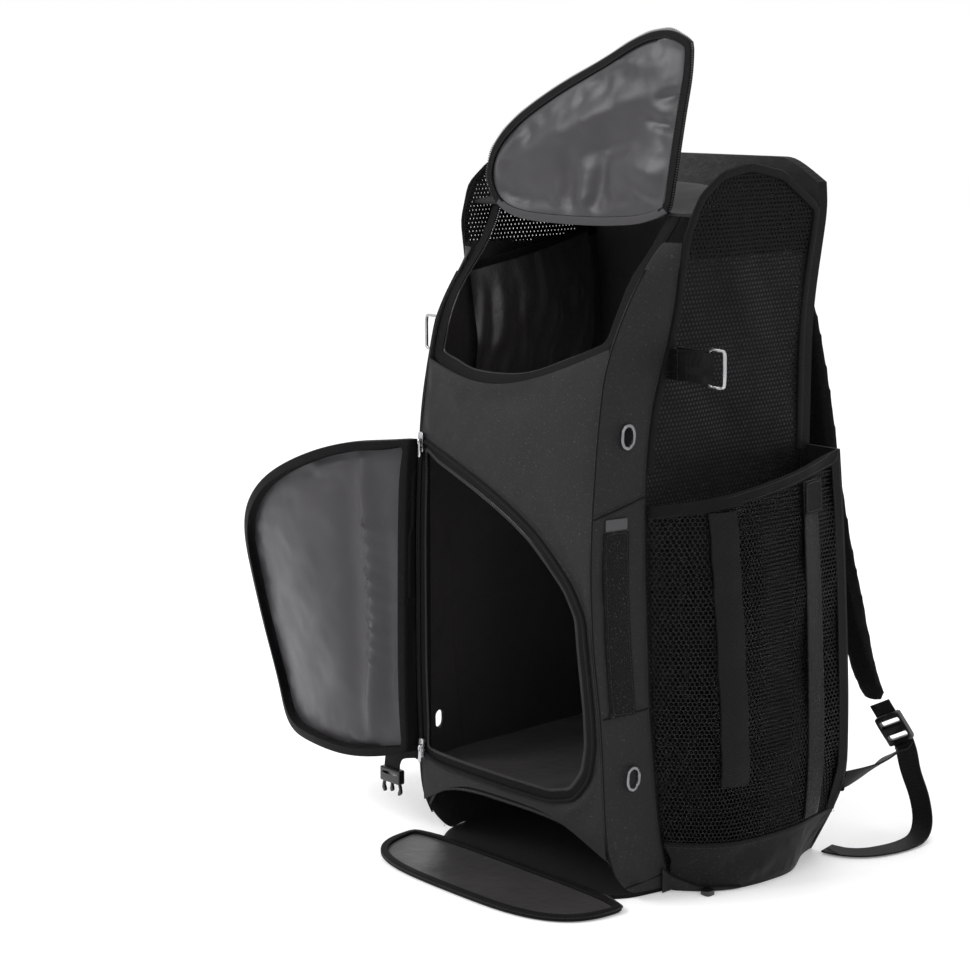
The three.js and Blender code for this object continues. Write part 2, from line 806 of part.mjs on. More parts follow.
// Shelf over the shoe space.
function shoeShelf() {
  const gap = wall + fit;
  const front = (sign) => seamDepth(shelfHeight, sign) + gap;
  const rear = rearSeamDepth(shelfHeight);
  const shape = new THREE.Shape();
  shape.moveTo(-halfBody + gap, front(-1));
  shape.lineTo(halfBody - gap, front(1));
  shape.lineTo(halfSide - gap, rear);
  shape.lineTo(halfSide - gap, backInner - fit);
  shape.lineTo(-halfSide + gap, backInner - fit);
  shape.lineTo(-halfSide + gap, rear);
  shape.closePath();
  const geometry = extruded(shape, shelfThickness);
  geometry.translate(0, 0, shelfHeight);
  return geometry;
}

// Zip tape round the top opening: up one gusset edge, along the lip and up the other.
function rimTape() {
  const inner = halfBody - wall - 2 * fit;
  const middle = new THREE.Vector3(0, hinge - hingeDepth / 2, (2 * hingeHeight + lipHeight) / 3);
  const rimFoot = { right: lipTop(inner) + rimCorner, left: lipTop(-inner) + rimCorner };
  const sideCount = 7;
  const lipCount = 9;
  const route = [];
  for (let n = 0; n <= sideCount; n += 1) {
    const z = THREE.MathUtils.lerp(hingeHeight - yokeThickness - fit, rimFoot.right, n / sideCount);
    route.push(new THREE.Vector3(inner, Math.min(seamDepth(z, 1), hinge) + wall + 2 * ease, z));
  }
  for (let n = 0; n <= lipCount; n += 1) {
    const x = THREE.MathUtils.lerp(inner - rimCorner, rimCorner - inner, n / lipCount);
    const z = lipTop(x) - fit;
    route.push(new THREE.Vector3(x, frontDepth(x, z) + wall + 3 * ease, z));
  }
  for (let n = 0; n <= sideCount; n += 1) {
    const z = THREE.MathUtils.lerp(rimFoot.left, hingeHeight - yokeThickness - fit, n / sideCount);
    route.push(new THREE.Vector3(-inner, Math.min(seamDepth(z, -1), hinge) + wall + 2 * ease, z));
  }
  const curve = new THREE.CatmullRomCurve3(route);
  const steps = 34;
  const place = (lift) => (s, t) => {
    const point = curve.getPointAt(s);
    const tangent = curve.getTangentAt(s);
    const inwards = middle.clone().sub(point);
    inwards.addScaledVector(tangent, -inwards.dot(tangent)).normalize();
    const normal = new THREE.Vector3().crossVectors(tangent, inwards).normalize();
    const back = Math.sign(normal.y) || 1;
    return point.addScaledVector(inwards, t * tapeWidth).addScaledVector(normal, back * lift);
  };
  return gridSheet(steps, 1, place(0), place(tapeThickness));
}

// Depth of the raised flap at a place on it.
function flapDepth(x, rise) {
  const up = rise / flapLength;
  const left = Math.max(0, -x / flapWidth);
  return hinge - fit - flapThickness + flapLean * up ** 1.5 - flapCurl * left * Math.max(0, up) * 2;
}

function flapLoop() {
  const corner = new THREE.SplineCurve(flapOutline.map(
    ({ across, rise }) => new THREE.Vector2(across * flapWidth, rise * flapLength)));
  return corner.getSpacedPoints(27).map(({ x, y }) => [x, y]);
}

function flapPoint(x, rise, lift) {
  return new THREE.Vector3(x, flapDepth(x, Math.max(rise, 0)) + lift, hingeHeight + fit + rise);
}

function topFlap() {
  return loopSheet(flapLoop(), null, 4,
    (x, rise) => flapPoint(x, rise, 0), (x, rise) => flapPoint(x, rise, flapThickness));
}

// Bound edge round the flap.
function flapBinding() {
  const lift = (bindingThickness - flapThickness) / 2;
  return loopSheet(inset(flapLoop(), -fit - bindingWidth), inset(flapLoop(), -fit), 1,
    (x, rise) => flapPoint(x, rise, -2 * lift),
    (x, rise) => flapPoint(x, rise, flapThickness));
}

// The open front door. out is the distance from the hinge, lift the distance towards the
// front of the bag.
function doorPoint(out, z, lift) {
  const share = THREE.MathUtils.clamp(out / doorWidth, 0, 1);
  const middle = doorBottom + doorHeight / 2;
  const high = THREE.MathUtils.clamp((z - doorBottom - doorTwistStart) / doorTwistRun, -0.15, 1);
  const swing = THREE.MathUtils.degToRad(THREE.MathUtils.lerp(doorSwingLow, doorSwingHigh, high));
  const bow = doorBow * 4 * share * (1 - share) + lift;
  const stretch = 1 + doorStretch * THREE.MathUtils.smoothstep(share, 0, doorStretchRun);
  const start = frontDepth(doorHinge, z);
  const hingeX = -halfBody - fit;
  return new THREE.Vector3(
    hingeX - out * Math.cos(swing) + bow * Math.sin(swing),
    start - out * Math.sin(swing) - bow * Math.cos(swing),
    middle + (z - middle) * stretch);
}

function doorLoop(distance) {
  return inset(doorOutline(doorLoopCount), distance);
}

function frontDoor() {
  return loopSheet(doorLoop(bindingWidth), null, 4,
    (u, z) => doorPoint(u, z, doorThickness), (u, z) => doorPoint(u, z, 0));
}

function doorBinding() {
  return loopSheet(doorLoop(0), doorLoop(bindingWidth - fit), 1,
    (u, z) => doorPoint(u, z, doorThickness + 2 * bindingThickness), (u, z) => doorPoint(u, z, 0));
}

// The shoe door, folded down on the floor in front of the base.
function shoeDoorLoop(distance) {
  const count = 20;
  const rear = seamDepth(0, 1) - fit;
  const loop = [];
  for (let n = 0; n <= count; n += 1) {
    const angle = Math.PI * n / count;
    const side = Math.sign(Math.cos(angle)) * Math.abs(Math.cos(angle)) ** 0.6;
    loop.push([-shoeDoorHalfWidth * side, frontLine - shoeDoorReach * Math.sin(angle) ** 0.7]);
  }
  loop.push([halfBody * 0.9, rear], [0, rear], [-halfBody * 0.9, rear]);
  return inset(loop, distance);
}

function shoeDoor() {
  const face = (lift) => (x, y) => new THREE.Vector3(x, y, fit + lift);
  return loopSheet(shoeDoorLoop(bindingWidth), null, 2, face(shoeDoorThickness), face(0));
}

function shoeDoorBinding() {
  const face = (lift) => (x, y) => new THREE.Vector3(x, y, fit + lift);
  return loopSheet(shoeDoorLoop(0), shoeDoorLoop(bindingWidth - fit), 1,
    face(bindingThickness), face(0));
}

// Zip tape along the shoe arch, under the front panel's lower edge.
function shoeTape() {
  const half = halfBody - wall - 2 * fit;
  const place = (depth) => (s, t) => {
    const x = THREE.MathUtils.lerp(-half, half, s);
    const z = shoeArch(x) + tapeWidth * (0.4 - t);
    return new THREE.Vector3(x, frontDepth(x, z) + wall + 3 * ease + depth, z);
  };
  return gridSheet(16, 1, place(0), place(tapeThickness));
}

// Parts of a sleeve. Each is a layer over the same wall, between two heights.
function sleeveLayer(sign, rows, columns, low, high, lift, thickness) {
  const face = (out) => (s, t) => {
    const z = THREE.MathUtils.lerp(low(t), high(t), s);
    return sidePoint(sign, sleeveReach(z, t) + out, sleeveDepth(z, t), z);
  };
  return gridSheet(rows, columns, face(lift), face(lift - thickness));
}

function sleeveMesh(sign) {
  return sleeveLayer(sign, 7, 12, () => bootHeight + fit, (t) => hemTop(t) - hemWidth - fit, 0, wall);
}

function sleeveHem(sign) {
  return sleeveLayer(sign, 1, 12, (t) => hemTop(t) - hemWidth, hemTop, hemLift, wall + hemLift);
}

// Cloth foot of a sleeve: its wall, closed by a floor.
function sleeveBoot(sign) {
  const rows = [0, 0, 0.1, 0.3, 0.6, 1];
  const start = halfSide + fit;
  const face = (inwards) => (s, t) => {
    const row = Math.round(s * (rows.length - 1));
    const z = rows[row] * bootHeight;
    const y = sleeveDepth(z, t);
    if (row === 0) return sidePoint(sign, start, sleeveDepth(0, t), inwards);
    const x = sleeveReach(z, t) - inwards;
    return sidePoint(sign, Math.max(x, start + 0.2), y, row === 1 ? inwards : z);
  };
  return gridSheet(rows.length - 1, 12, face(0), face(wall));
}

// Cloth wing of the back that closes a sleeve behind.
function sleeveBack(sign) {
  const start = halfSide + fit;
  const face = (depth) => (s, t) => {
    const z = THREE.MathUtils.lerp(0, hemTop(1), s);
    const x = THREE.MathUtils.lerp(start, sleeveReach(z, 1), t);
    return sidePoint(sign, x, backFace - depth, z);
  };
  return gridSheet(10, 2, face(0), face(sleeveBackThickness));
}

// A band lying on a sleeve between two heights, at a depth that may change with height.
function sleeveBand(sign, low, high, depth, width, lift) {
  const face = (out) => (s, t) => {
    const z = THREE.MathUtils.lerp(low, high, s);
    const y = depth(z) + (t - 0.5) * width;
    return sidePoint(sign, sleeveReach(z, sleeveShare(z, y)) + out, y, z);
  };
  return gridSheet(8, 2, face(lift + webbingThickness), face(lift));
}

// Lower edge of the hem at a distance behind the front line.
function underHem(depth) {
  return hemTop(sleeveShare(hemHeight - hemRise, frontLine + depth)) - hemWidth;
}

// Webbing with its upper end just under the hem.
function sleeveWebbing(sign) {
  const top = underHem(webbingDepth - webbingWidth / 2) - 3 * fit;
  const depth = (z) => frontLine + webbingDepth + webbingDrift * (top - z) / (top - webbingFoot);
  return sleeveBand(sign, webbingFoot, top, depth, webbingWidth, ease);
}

function rearBand(sign) {
  const top = underHem(rearBandDepth - rearBandWidth / 2) - 3 * fit;
  const depth = (z) => frontLine + rearBandDepth + rearBandDrift * (top - z) / top;
  return sleeveBand(sign, bootHeight + 5, top, depth, rearBandWidth, ease);
}

// Hook-and-loop tab over the rear band.
function hookTab(sign) {
  const top = underHem(hookTabDepth - hookTabWidth / 2) - 3 * fit;
  return sleeveBand(sign, top - hookTabHeight, top, () => frontLine + hookTabDepth, hookTabWidth,
    ease + fit + webbingThickness);
}

// A strip lying on a gusset between two heights.
function gussetStrip(sign, low, high, width, thickness, lift, rows) {
  const face = (out) => (s, t) => {
    const z = THREE.MathUtils.lerp(low, high, s);
    const middle = THREE.MathUtils.lerp(gussetFront(z, sign), rearSeamDepth(z), gripStripShare);
    const y = middle + (t - 0.5) * width;
    return sidePoint(sign, gussetReach(z, y, sign) + out, y, z);
  };
  return gridSheet(rows, 3, face(lift + thickness), face(lift));
}

function eyelet(sign, z) {
  const ring = hasHole(ovalShape(eyeletWidth, eyeletHeight),
    ovalShape(eyeletWidth - 2 * eyeletRing, eyeletHeight - 2 * eyeletRing));
  const y = eyeletDepth(z, sign);
  const reach = Math.max(...[-0.5, 0, 0.5].flatMap((side) => [-0.5, 0, 0.5].map(
    (up) => gussetReach(z + up * eyeletHeight, y + side * eyeletWidth, sign))));
  return onSide(extruded(ring, eyeletThickness, 3), sign, reach + fit, y, z);
}

// Where a retaining strap leaves the mesh side, and the radius of its fold round the loop.
function retainerStart() {
  return sideReach(retainerHeight + retainerWidth / 2) + ease;
}

function retainerBend() {
  return loopWire / 2 + ease + fit + webbingThickness / 2;
}

// Retaining strap: sewn to the mesh side by one end, folded round its loop and sewn back.
function retainerStrap(sign) {
  const y = rearSeamDepth(retainerHeight) + retainerSetBack;
  const start = retainerStart();
  const end = start + retainerReach;
  const bend = retainerBend();
  const route = [
    [start, y - bend, retainerHeight],
    [start + retainerReach / 2, y - bend, retainerHeight],
    [end - bend, y - bend, retainerHeight],
    [end, y, retainerHeight],
    [end - bend, y + bend, retainerHeight],
    [start + retainerReach / 2, y + bend + retainerSpread / 4, retainerHeight],
    [start, y + bend + retainerSpread, retainerHeight],
  ];
  return ribbon(vectors(route, sign), retainerWidth, webbingThickness, 26,
    () => new THREE.Vector3(0, 0, 1));
}

function retainerLoop(sign) {
  const y = rearSeamDepth(retainerHeight) + retainerSetBack;
  const barAt = retainerStart() + retainerReach - retainerBend();
  const ring = hasHole(roundedShape(loopWidth, loopHeight, 5),
    roundedShape(loopWidth - 2 * loopWire, loopHeight - 2 * loopWire, 2.5));
  const geometry = extruded(ring, loopWire, 2);
  geometry.rotateX(Math.PI / 2);
  const x = barAt - loopWire / 2 + loopWidth / 2;
  geometry.translate(sign * x, y + loopWire / 2, retainerHeight);
  return geometry;
}

// Padded shoulder strap.
function shoulderPad(sign) {
  const curve = new THREE.CatmullRomCurve3(behindBack(padRoute, sign));
  const steps = 18;
  const corners = 10;
  const rings = Array.from({ length: steps + 1 }, (_, n) => {
    const share = n / steps;
    const tangent = curve.getTangentAt(share);
    const across = new THREE.Vector3(1, 0, 0).addScaledVector(tangent, -tangent.x).normalize();
    const normal = new THREE.Vector3().crossVectors(tangent, across);
    const taper = Math.min(1, 0.62 + 1.6 * Math.min(share, 1 - share));
    const middle = curve.getPointAt(share);
    return Array.from({ length: corners }, (__, k) => {
      const angle = 2 * Math.PI * k / corners;
      const side = Math.sign(Math.cos(angle)) * Math.abs(Math.cos(angle)) ** 0.7;
      const lift = Math.sign(Math.sin(angle)) * Math.abs(Math.sin(angle)) ** 0.7;
      return middle.clone()
        .addScaledVector(across, taper * side * padWidth / 2)
        .addScaledVector(normal, lift * padThickness / 2);
    });
  });
  return loft(rings);
}

// Frame of an adjuster: its middle, the way it hangs, its width and the way it faces.
function ladderFrame(sign) {
  const [before, end] = behindBack(padRoute, sign).slice(-2);
  const lean = end.clone().sub(before).normalize();
  const middle = end.clone().addScaledVector(lean, padTailLength + ladderLength / 2);
  const across = new THREE.Vector3(1, sign * strapTurn, 0);
  across.addScaledVector(lean, -across.dot(lean)).normalize();
  const normal = new THREE.Vector3().crossVectors(across, lean.clone().negate()).normalize();
  return { middle, lean, across, normal };
}

// A place on an adjuster: along the way it hangs, and out of its face away from the back.
function ladderPoint(sign, along, out) {
  const { middle, lean, normal } = ladderFrame(sign);
  return middle.addScaledVector(lean, along).addScaledVector(normal, Math.sign(normal.y) * out);
}

// Width direction of a strap piece that turns from its adjuster's to another one at its end.
function strapAcross(sign, end) {
  const from = ladderFrame(sign).across.multiplyScalar(sign);
  const to = new THREE.Vector3(sign * end[0], end[1], end[2]);
  return (share) => from.clone().lerp(to, share ** 2);
}

// Plastic adjuster with three bars.
function ladderLock(sign) {
  const frame = roundedShape(ladderWidth, ladderLength, ladderSlot / 2);
  for (const rise of [-ladderLength / 4, ladderLength / 4]) {
    const slot = roundedShape(strapWidth + 2 * fit, ladderSlot, ladderSlot / 4);
    frame.holes.push(new THREE.Path(slot.getPoints(1).reverse().map(
      (point) => new THREE.Vector2(point.x, point.y + rise))));
  }
  const geometry = extruded(frame, ladderThickness, 2);
  geometry.translate(0, 0, -ladderThickness / 2);
  const { middle, lean, across, normal } = ladderFrame(sign);
  const turned = new THREE.Matrix4().makeBasis(across, lean.clone().negate(), normal);
  turned.setPosition(middle);
  return geometry.applyMatrix4(turned);
}

// Webbing from the pad to the adjuster.
function padTail(sign) {
  const low = -ladderLength / 2;
  const route = [2 * fit - padTailLength, -padTailLength / 2, -fit].map(
    (along) => ladderPoint(sign, low + along, 0));
  return ribbon(route, strapWidth, strapThickness, 4, () => ladderFrame(sign).across);
}

// Webbing from the adjuster to the anchor.
function lowerStrap(sign) {
  const start = [3 * ease, 4 * strapThickness].map(
    (along) => ladderPoint(sign, ladderLength / 2 + along, -along / 3));
  const end = new THREE.Vector3(sign * (anchorAcross + strapWidth / 2),
    backFace + 2 * fit + anchorTabThickness + ease, anchorHeight);
  return ribbon([...start, ...behindBack(lowerStrapRoute, sign), end],
    strapWidth, strapThickness, 14, strapAcross(sign, [0.4, 0, 0.9]));
}

// Free end of the webbing, which turns level before it reaches the floor.
function strapTail(sign) {
  const start = [fit, 3 * ease].map(
    (along) => ladderPoint(sign, ladderLength / 2 + along, ladderThickness / 3));
  const turned = strapAcross(sign, [0.3, -1, 0]);
  const levelled = (share) => {
    const across = turned(share);
    across.z *= Math.max(0, 1 - share / tailLevelShare);
    return across;
  };
  return ribbon([...start, ...behindBack(tailRoute, sign)], strapWidth, strapThickness, 22, levelled);
}

// Webbing tab sewn to the sleeve's back, which holds the lower strap.
function strapAnchor(sign) {
  const geometry = extruded(roundedShape(anchorTabWidth, anchorTabHeight, 2), anchorTabThickness, 2);
  geometry.rotateX(Math.PI / 2);
  geometry.translate(sign * anchorAcross, backFace + fit + anchorTabThickness, anchorHeight);
  return geometry;
}

// Small rubber foot beside the front of a sleeve's boot.
function sleeveFoot(sign) {
  const y = sleeveDepth(0, footShare);
  const geometry = extruded(roundedShape(footWidth, footWidth, footWidth / 4), footHeight, 2);
  const reach = sleeveReach(footHeight, sleeveShare(footHeight, y + footWidth / 4));
  geometry.translate(sign * (reach + footWidth / 2 + fit), y, 0);
  return geometry;
}

// Zip slider at a height on the door's hinge side.
function zipSlider(x, z) {
  const body = extruded(roundedShape(sliderWidth, sliderLength, sliderWidth / 3), sliderThickness, 2);
  body.rotateX(Math.PI / 2);
  body.translate(x, frontDepth(x, z) - ease - fit, z);
  return body;
}

// Side-release buckle that hangs on its short webbing beside the foot of the door.
function buckle() {
  const geometry = extruded(
    roundedShape(buckleWidth, buckleLength, buckleLength / 6), buckleThickness, 3);
  geometry.rotateX(Math.PI / 2);
  geometry.translate(-buckleAcross, frontLine + 2 / 3 * buckleThickness, buckleHeight);
  return geometry;
}

function buckleWebbing() {
  const sewn = frontLine + buckleSewnDepth;
  const start = gussetReach(buckleSewnHeight, sewn, -1) + ease;
  const top = buckleHeight + buckleLength / 2;
  const hang = frontLine + buckleThickness / 6;
  const depth = (share) => THREE.MathUtils.lerp(sewn, hang, share);
  const across = (share) => -THREE.MathUtils.lerp(start, buckleAcross, share);
  const height = (share) => THREE.MathUtils.lerp(buckleSewnHeight, top, share);
  const route = [
    [across(0), depth(0), height(0)],
    [across(0.4), depth(0.3), height(0.06)],
    [across(0.85), depth(0.8), height(0.3)],
    [across(1), depth(1), height(0.75)],
    [across(1), depth(1), top + fit],
  ];
  return ribbon(vectors(route), strapWidth, strapThickness, 8,
    (share) => new THREE.Vector3(-share, 0, 1 - share));
}

// The bag, piece by piece
add('front_panel', frontPanel(), 'shell');
add('door_tape', doorTape(), 'binding');
add('back_panel', backPanel(), 'shell');
add('top_yoke', topYoke(), 'shell');
add('base_panel', basePanel(), 'boot');
add('shoe_shelf', shoeShelf(), 'lining');
add('rim_tape', rimTape(), 'binding');
add('top_flap', topFlap(), 'lining');
add('flap_binding', flapBinding(), 'binding');
add('front_door', frontDoor(), 'lining');
add('door_binding', doorBinding(), 'binding');
add('shoe_door', shoeDoor(), 'shell');
add('shoe_door_binding', shoeDoorBinding(), 'binding');
add('shoe_tape', shoeTape(), 'binding');
add('zip_slider_upper', zipSlider(doorHinge + sliderWidth / 2, doorBottom + doorHeight - 3), 'metal');
add('zip_slider_lower', zipSlider(doorHinge + sliderWidth / 2, doorBottom + tapeWidth), 'metal');
add('side_buckle', buckle(), 'plastic');
add('buckle_webbing', buckleWebbing(), 'webbing');
add('tag_right', gussetStrip(
  1, gripStripTop + fit, gripStripTop + tagHeight, gripStripWidth - 4, 1, 2 * fit, 1), 'shell');
add('sleeve_foot_right', sleeveFoot(1), 'plastic');

for (const [side, sign] of [['right', 1], ['left', -1]]) {
  add(`gusset_${side}`, gusset(sign), 'shell');
  add(`side_wall_${side}`, sideWall(sign), 'mesh');
  add(`sleeve_mesh_${side}`, sleeveMesh(sign), 'mesh');
  add(`sleeve_hem_${side}`, sleeveHem(sign), 'binding');
  add(`sleeve_boot_${side}`, sleeveBoot(sign), 'boot');
  add(`sleeve_back_${side}`, sleeveBack(sign), 'boot');
  add(`sleeve_webbing_${side}`, sleeveWebbing(sign), 'webbing');
  add(`rear_band_${side}`, rearBand(sign), 'webbing');
  add(`hook_tab_${side}`, hookTab(sign), 'binding');
  add(`grip_strip_${side}`, gussetStrip(
    sign, gripStripFoot, gripStripTop, gripStripWidth, webbingThickness, 2 * fit, 8), 'binding');
  add(`eyelet_upper_${side}`, eyelet(sign, eyeletUpper), 'metal');
  add(`eyelet_lower_${side}`, eyelet(sign, eyeletLower), 'metal');
  add(`retainer_strap_${side}`, retainerStrap(sign), 'webbing');
  add(`retainer_loop_${side}`, retainerLoop(sign), 'metal');
  add(`shoulder_pad_${side}`, shoulderPad(sign), 'shell');
  add(`pad_tail_${side}`, padTail(sign), 'webbing');
  add(`lower_strap_${side}`, lowerStrap(sign), 'webbing');
  add(`strap_tail_${side}`, strapTail(sign), 'webbing');
  add(`ladder_lock_${side}`, ladderLock(sign), 'plastic');
  add(`strap_anchor_${side}`, strapAnchor(sign), 'webbing');
}

export default bag;
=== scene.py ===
"""Looks of the baseball bat backpack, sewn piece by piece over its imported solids."""

import logging
import math
from dataclasses import dataclass
from enum import Enum
from typing import Callable, Sequence

import bmesh
import bpy
import numpy as np
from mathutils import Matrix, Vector
from mathutils.bvhtree import BVHTree
from mathutils.kdtree import KDTree


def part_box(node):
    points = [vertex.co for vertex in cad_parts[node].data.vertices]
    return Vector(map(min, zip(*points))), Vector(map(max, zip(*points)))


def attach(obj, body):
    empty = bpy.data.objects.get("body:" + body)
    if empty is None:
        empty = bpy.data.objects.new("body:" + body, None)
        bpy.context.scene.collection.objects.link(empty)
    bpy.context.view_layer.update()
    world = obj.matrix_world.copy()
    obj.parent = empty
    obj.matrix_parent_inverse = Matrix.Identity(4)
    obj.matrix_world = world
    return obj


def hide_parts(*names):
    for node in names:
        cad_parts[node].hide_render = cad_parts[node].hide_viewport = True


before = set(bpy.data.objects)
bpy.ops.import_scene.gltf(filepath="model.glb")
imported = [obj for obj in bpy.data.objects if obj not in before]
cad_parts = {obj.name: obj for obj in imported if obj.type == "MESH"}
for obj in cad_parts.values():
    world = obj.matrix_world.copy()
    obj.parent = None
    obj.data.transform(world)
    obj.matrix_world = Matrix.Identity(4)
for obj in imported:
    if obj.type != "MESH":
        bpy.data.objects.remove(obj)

LOG = logging.getLogger("bag")
MM = 0.001
PHOTO_WIDTH = 970
SENSOR_WIDTH = 36.0
Array = np.ndarray


class Side(Enum):
    """A side of the bag, seen from its front."""

    RIGHT = 1
    LEFT = -1

    def node(self, name: str) -> str:
        """Returns the name of this side's CAD node."""
        return f"{name}_{self.name.lower()}"


class Layer(Enum):
    """A part of a sewn panel's surface: its two faces and its raw edge."""

    SHOWN = 0
    BEHIND = 1
    EDGE = 2


# Materials


class Tree:
    """Places and joins nodes in one node tree."""

    def __init__(self, tree: bpy.types.NodeTree) -> None:
        """Keeps the tree that the nodes go into."""
        self.tree = tree

    def put(self, target: bpy.types.NodeSocket, value: object) -> None:
        """Joins a socket to another one, or sets it to a plain value.

        Args:
            target: the socket to join or set.
            value: another socket, or a plain value.
        """
        if isinstance(value, bpy.types.NodeSocket):
            self.tree.links.new(value, target)
        else:
            target.default_value = value

    def add(self, kind: str, inputs: dict[object, object] | None = None,
            **options: object) -> bpy.types.Node:
        """Adds a node.

        Args:
            kind: Blender's name of the node type, without its prefix.
            inputs: values or sockets by input name or number.
            **options: the node's own settings.

        Returns:
            The new node.
        """
        node = self.tree.nodes.new(f"ShaderNode{kind}")
        for key, value in options.items():
            setattr(node, key, value)
        for key, value in (inputs or {}).items():
            self.put(node.inputs[key], value)
        return node

    def math(self, operation: str, *values: object) -> bpy.types.NodeSocket:
        """Adds a Math node and returns its result."""
        return self.add("Math", dict(enumerate(values)), operation=operation).outputs[0]

    def vector(self, operation: str, *values: object) -> bpy.types.NodeSocket:
        """Adds a Vector Math node and returns its result."""
        node = self.add("VectorMath", dict(enumerate(values)), operation=operation)
        return node.outputs["Value" if operation == "LENGTH" else "Vector"]

    def noise(self, place: object, scale: float, detail: float = 3.0) -> bpy.types.NodeSocket:
        """Adds a Noise texture and returns its value."""
        values = {"Vector": place, "Scale": scale, "Detail": detail, "Roughness": 0.6}
        return self.add("TexNoise", values).outputs["Fac"]

    def band(self, value: object, low: float, high: float) -> bpy.types.NodeSocket:
        """Returns a value that rises smoothly from 0 at low to 1 at high.

        Args:
            value: the value or socket.
            low: where it starts to rise.
            high: where it has risen.

        Returns:
            The risen value.
        """
        node = self.add("MapRange", {"Value": value, "From Min": low, "From Max": high},
                        interpolation_type="SMOOTHSTEP")
        return node.outputs["Result"]


class Effects:
    """Surface effects that several finishes share, each as one node group."""

    def __init__(self) -> None:
        """Starts with no group made."""
        self.made: dict[str, bpy.types.NodeTree] = {}

    def group(self, name: str) -> bpy.types.NodeTree:
        """Returns the node group of that name, and makes it the first time.

        Args:
            name: the group's name, which is its method's too.

        Returns:
            The node group.
        """
        if name not in self.made:
            self.made[name] = getattr(self, name)()
        return self.made[name]

    def start(self, name: str, inputs: dict[str, object],
              outputs: Sequence[str]) -> tuple[Tree, dict, dict]:
        """Starts a node group.

        Args:
            name: the group's name.
            inputs: default value of each input. None is a vector, three numbers a colour.
            outputs: names of the outputs. Color is a colour, the others are values.

        Returns:
            The group's tree, its inputs' sockets and its outputs' sockets.
        """
        tree = bpy.data.node_groups.new(name, "ShaderNodeTree")
        for key, value in inputs.items():
            kind = "Vector" if value is None else "Color" if isinstance(value, tuple) else "Float"
            socket = tree.interface.new_socket(key, in_out="INPUT", socket_type=f"NodeSocket{kind}")
            if value is not None:
                socket.default_value = value
        for key in outputs:
            kind = "Color" if key == "Color" else "Float"
            tree.interface.new_socket(key, in_out="OUTPUT", socket_type=f"NodeSocket{kind}")
        made = Tree(tree)
        given = tree.nodes.new("NodeGroupInput")
        result = tree.nodes.new("NodeGroupOutput")
        return made, given.outputs, result.inputs

    def plain_weave(self) -> bpy.types.NodeTree:
        """Builds a plain weave: threads that pass over and under each other.

        Returns:
            The node group.
        """
        t, given, result = self.start("plain_weave", {"Vector": None, "Pitch": 0.001}, ["Height"])
        turns = t.math("DIVIDE", math.pi, given["Pitch"])
        scaled = t.add("VectorMath", {0: given["Vector"], "Scale": turns}, operation="SCALE")
        place = t.add("SeparateXYZ", {0: scaled.outputs["Vector"]})
        across = t.math("SINE", place.outputs[0])
        along = t.math("SINE", place.outputs[1])
        cross = t.math("MULTIPLY", across, along)
        t.put(result["Height"], t.math("MULTIPLY_ADD", cross, 0.5, 0.5))
        return t.tree

    def twill_lines(self) -> bpy.types.NodeTree:
        """Builds the slanting lines of a twill or the ribs of a tape.

        Returns:
            The node group.
        """
        t, given, result = self.start(
            "twill_lines", {"Vector": None, "Pitch": 0.002, "Slant": 1.0}, ["Height"])
        place = t.add("SeparateXYZ", {0: given["Vector"]})
        slanted = t.math("MULTIPLY_ADD", place.outputs[0], given["Slant"], place.outputs[1])
        turns = t.math("DIVIDE", slanted, given["Pitch"])
        wave = t.math("SINE", t.math("MULTIPLY", turns, 2 * math.pi))
        t.put(result["Height"], t.math("MULTIPLY_ADD", wave, 0.5, 0.5))
        return t.tree

    def net_cells(self) -> bpy.types.NodeTree:
        """Builds a knitted net: round holes on a honeycomb grid, and the cover between them.

        Returns:
            The node group.
        """
        t, given, result = self.start(
            "net_cells", {"Vector": None, "Pitch": 0.003, "Hole": 0.3}, ["Cover", "Height"])
        root = math.sqrt(3.0)
        grow = t.math("DIVIDE", 1.0, given["Pitch"])
        scaled = t.add("VectorMath", {0: given["Vector"], "Scale": grow}, operation="SCALE")
        squeezed = t.vector("MULTIPLY", scaled.outputs["Vector"], (1.0, 1.0 / root, 0.0))
        gaps = []
        for shift in (0.0, 0.5):
            moved = t.vector("ADD", squeezed, (shift, shift, 0.0))
            centred = t.vector("SUBTRACT", t.vector("FRACTION", moved), (0.5, 0.5, 0.0))
            gaps.append(t.vector("LENGTH", t.vector("MULTIPLY", centred, (1.0, root, 0.0))))
        nearest = t.math("MINIMUM", *gaps)
        inner = t.math("SUBTRACT", given["Hole"], 0.04)
        outer = t.math("ADD", given["Hole"], 0.04)
        cover = t.add("MapRange", {"Value": nearest, "From Min": inner, "From Max": outer},
                      interpolation_type="SMOOTHSTEP")
        t.put(result["Cover"], cover.outputs["Result"])
        t.put(result["Height"], nearest)
        return t.tree

    def pile_fuzz(self) -> bpy.types.NodeTree:
        """Builds the tangled pile of a hook-and-loop strip.

        Returns:
            The node group.
        """
        t, given, result = self.start("pile_fuzz", {"Vector": None, "Pitch": 0.0015}, ["Height"])
        scaled = t.add("VectorMath", {0: given["Vector"], "Scale": t.math("DIVIDE", 1.0, given["Pitch"])},
                       operation="SCALE").outputs["Vector"]
        cells = t.add("TexVoronoi", {"Vector": scaled, "Scale": 1.0, "Randomness": 0.7})
        tangle = t.noise(scaled, 2.6, 4.0)
        loops = t.math("SUBTRACT", 1.0, cells.outputs["Distance"])
        t.put(result["Height"], t.math("MULTIPLY", loops, tangle))
        return t.tree

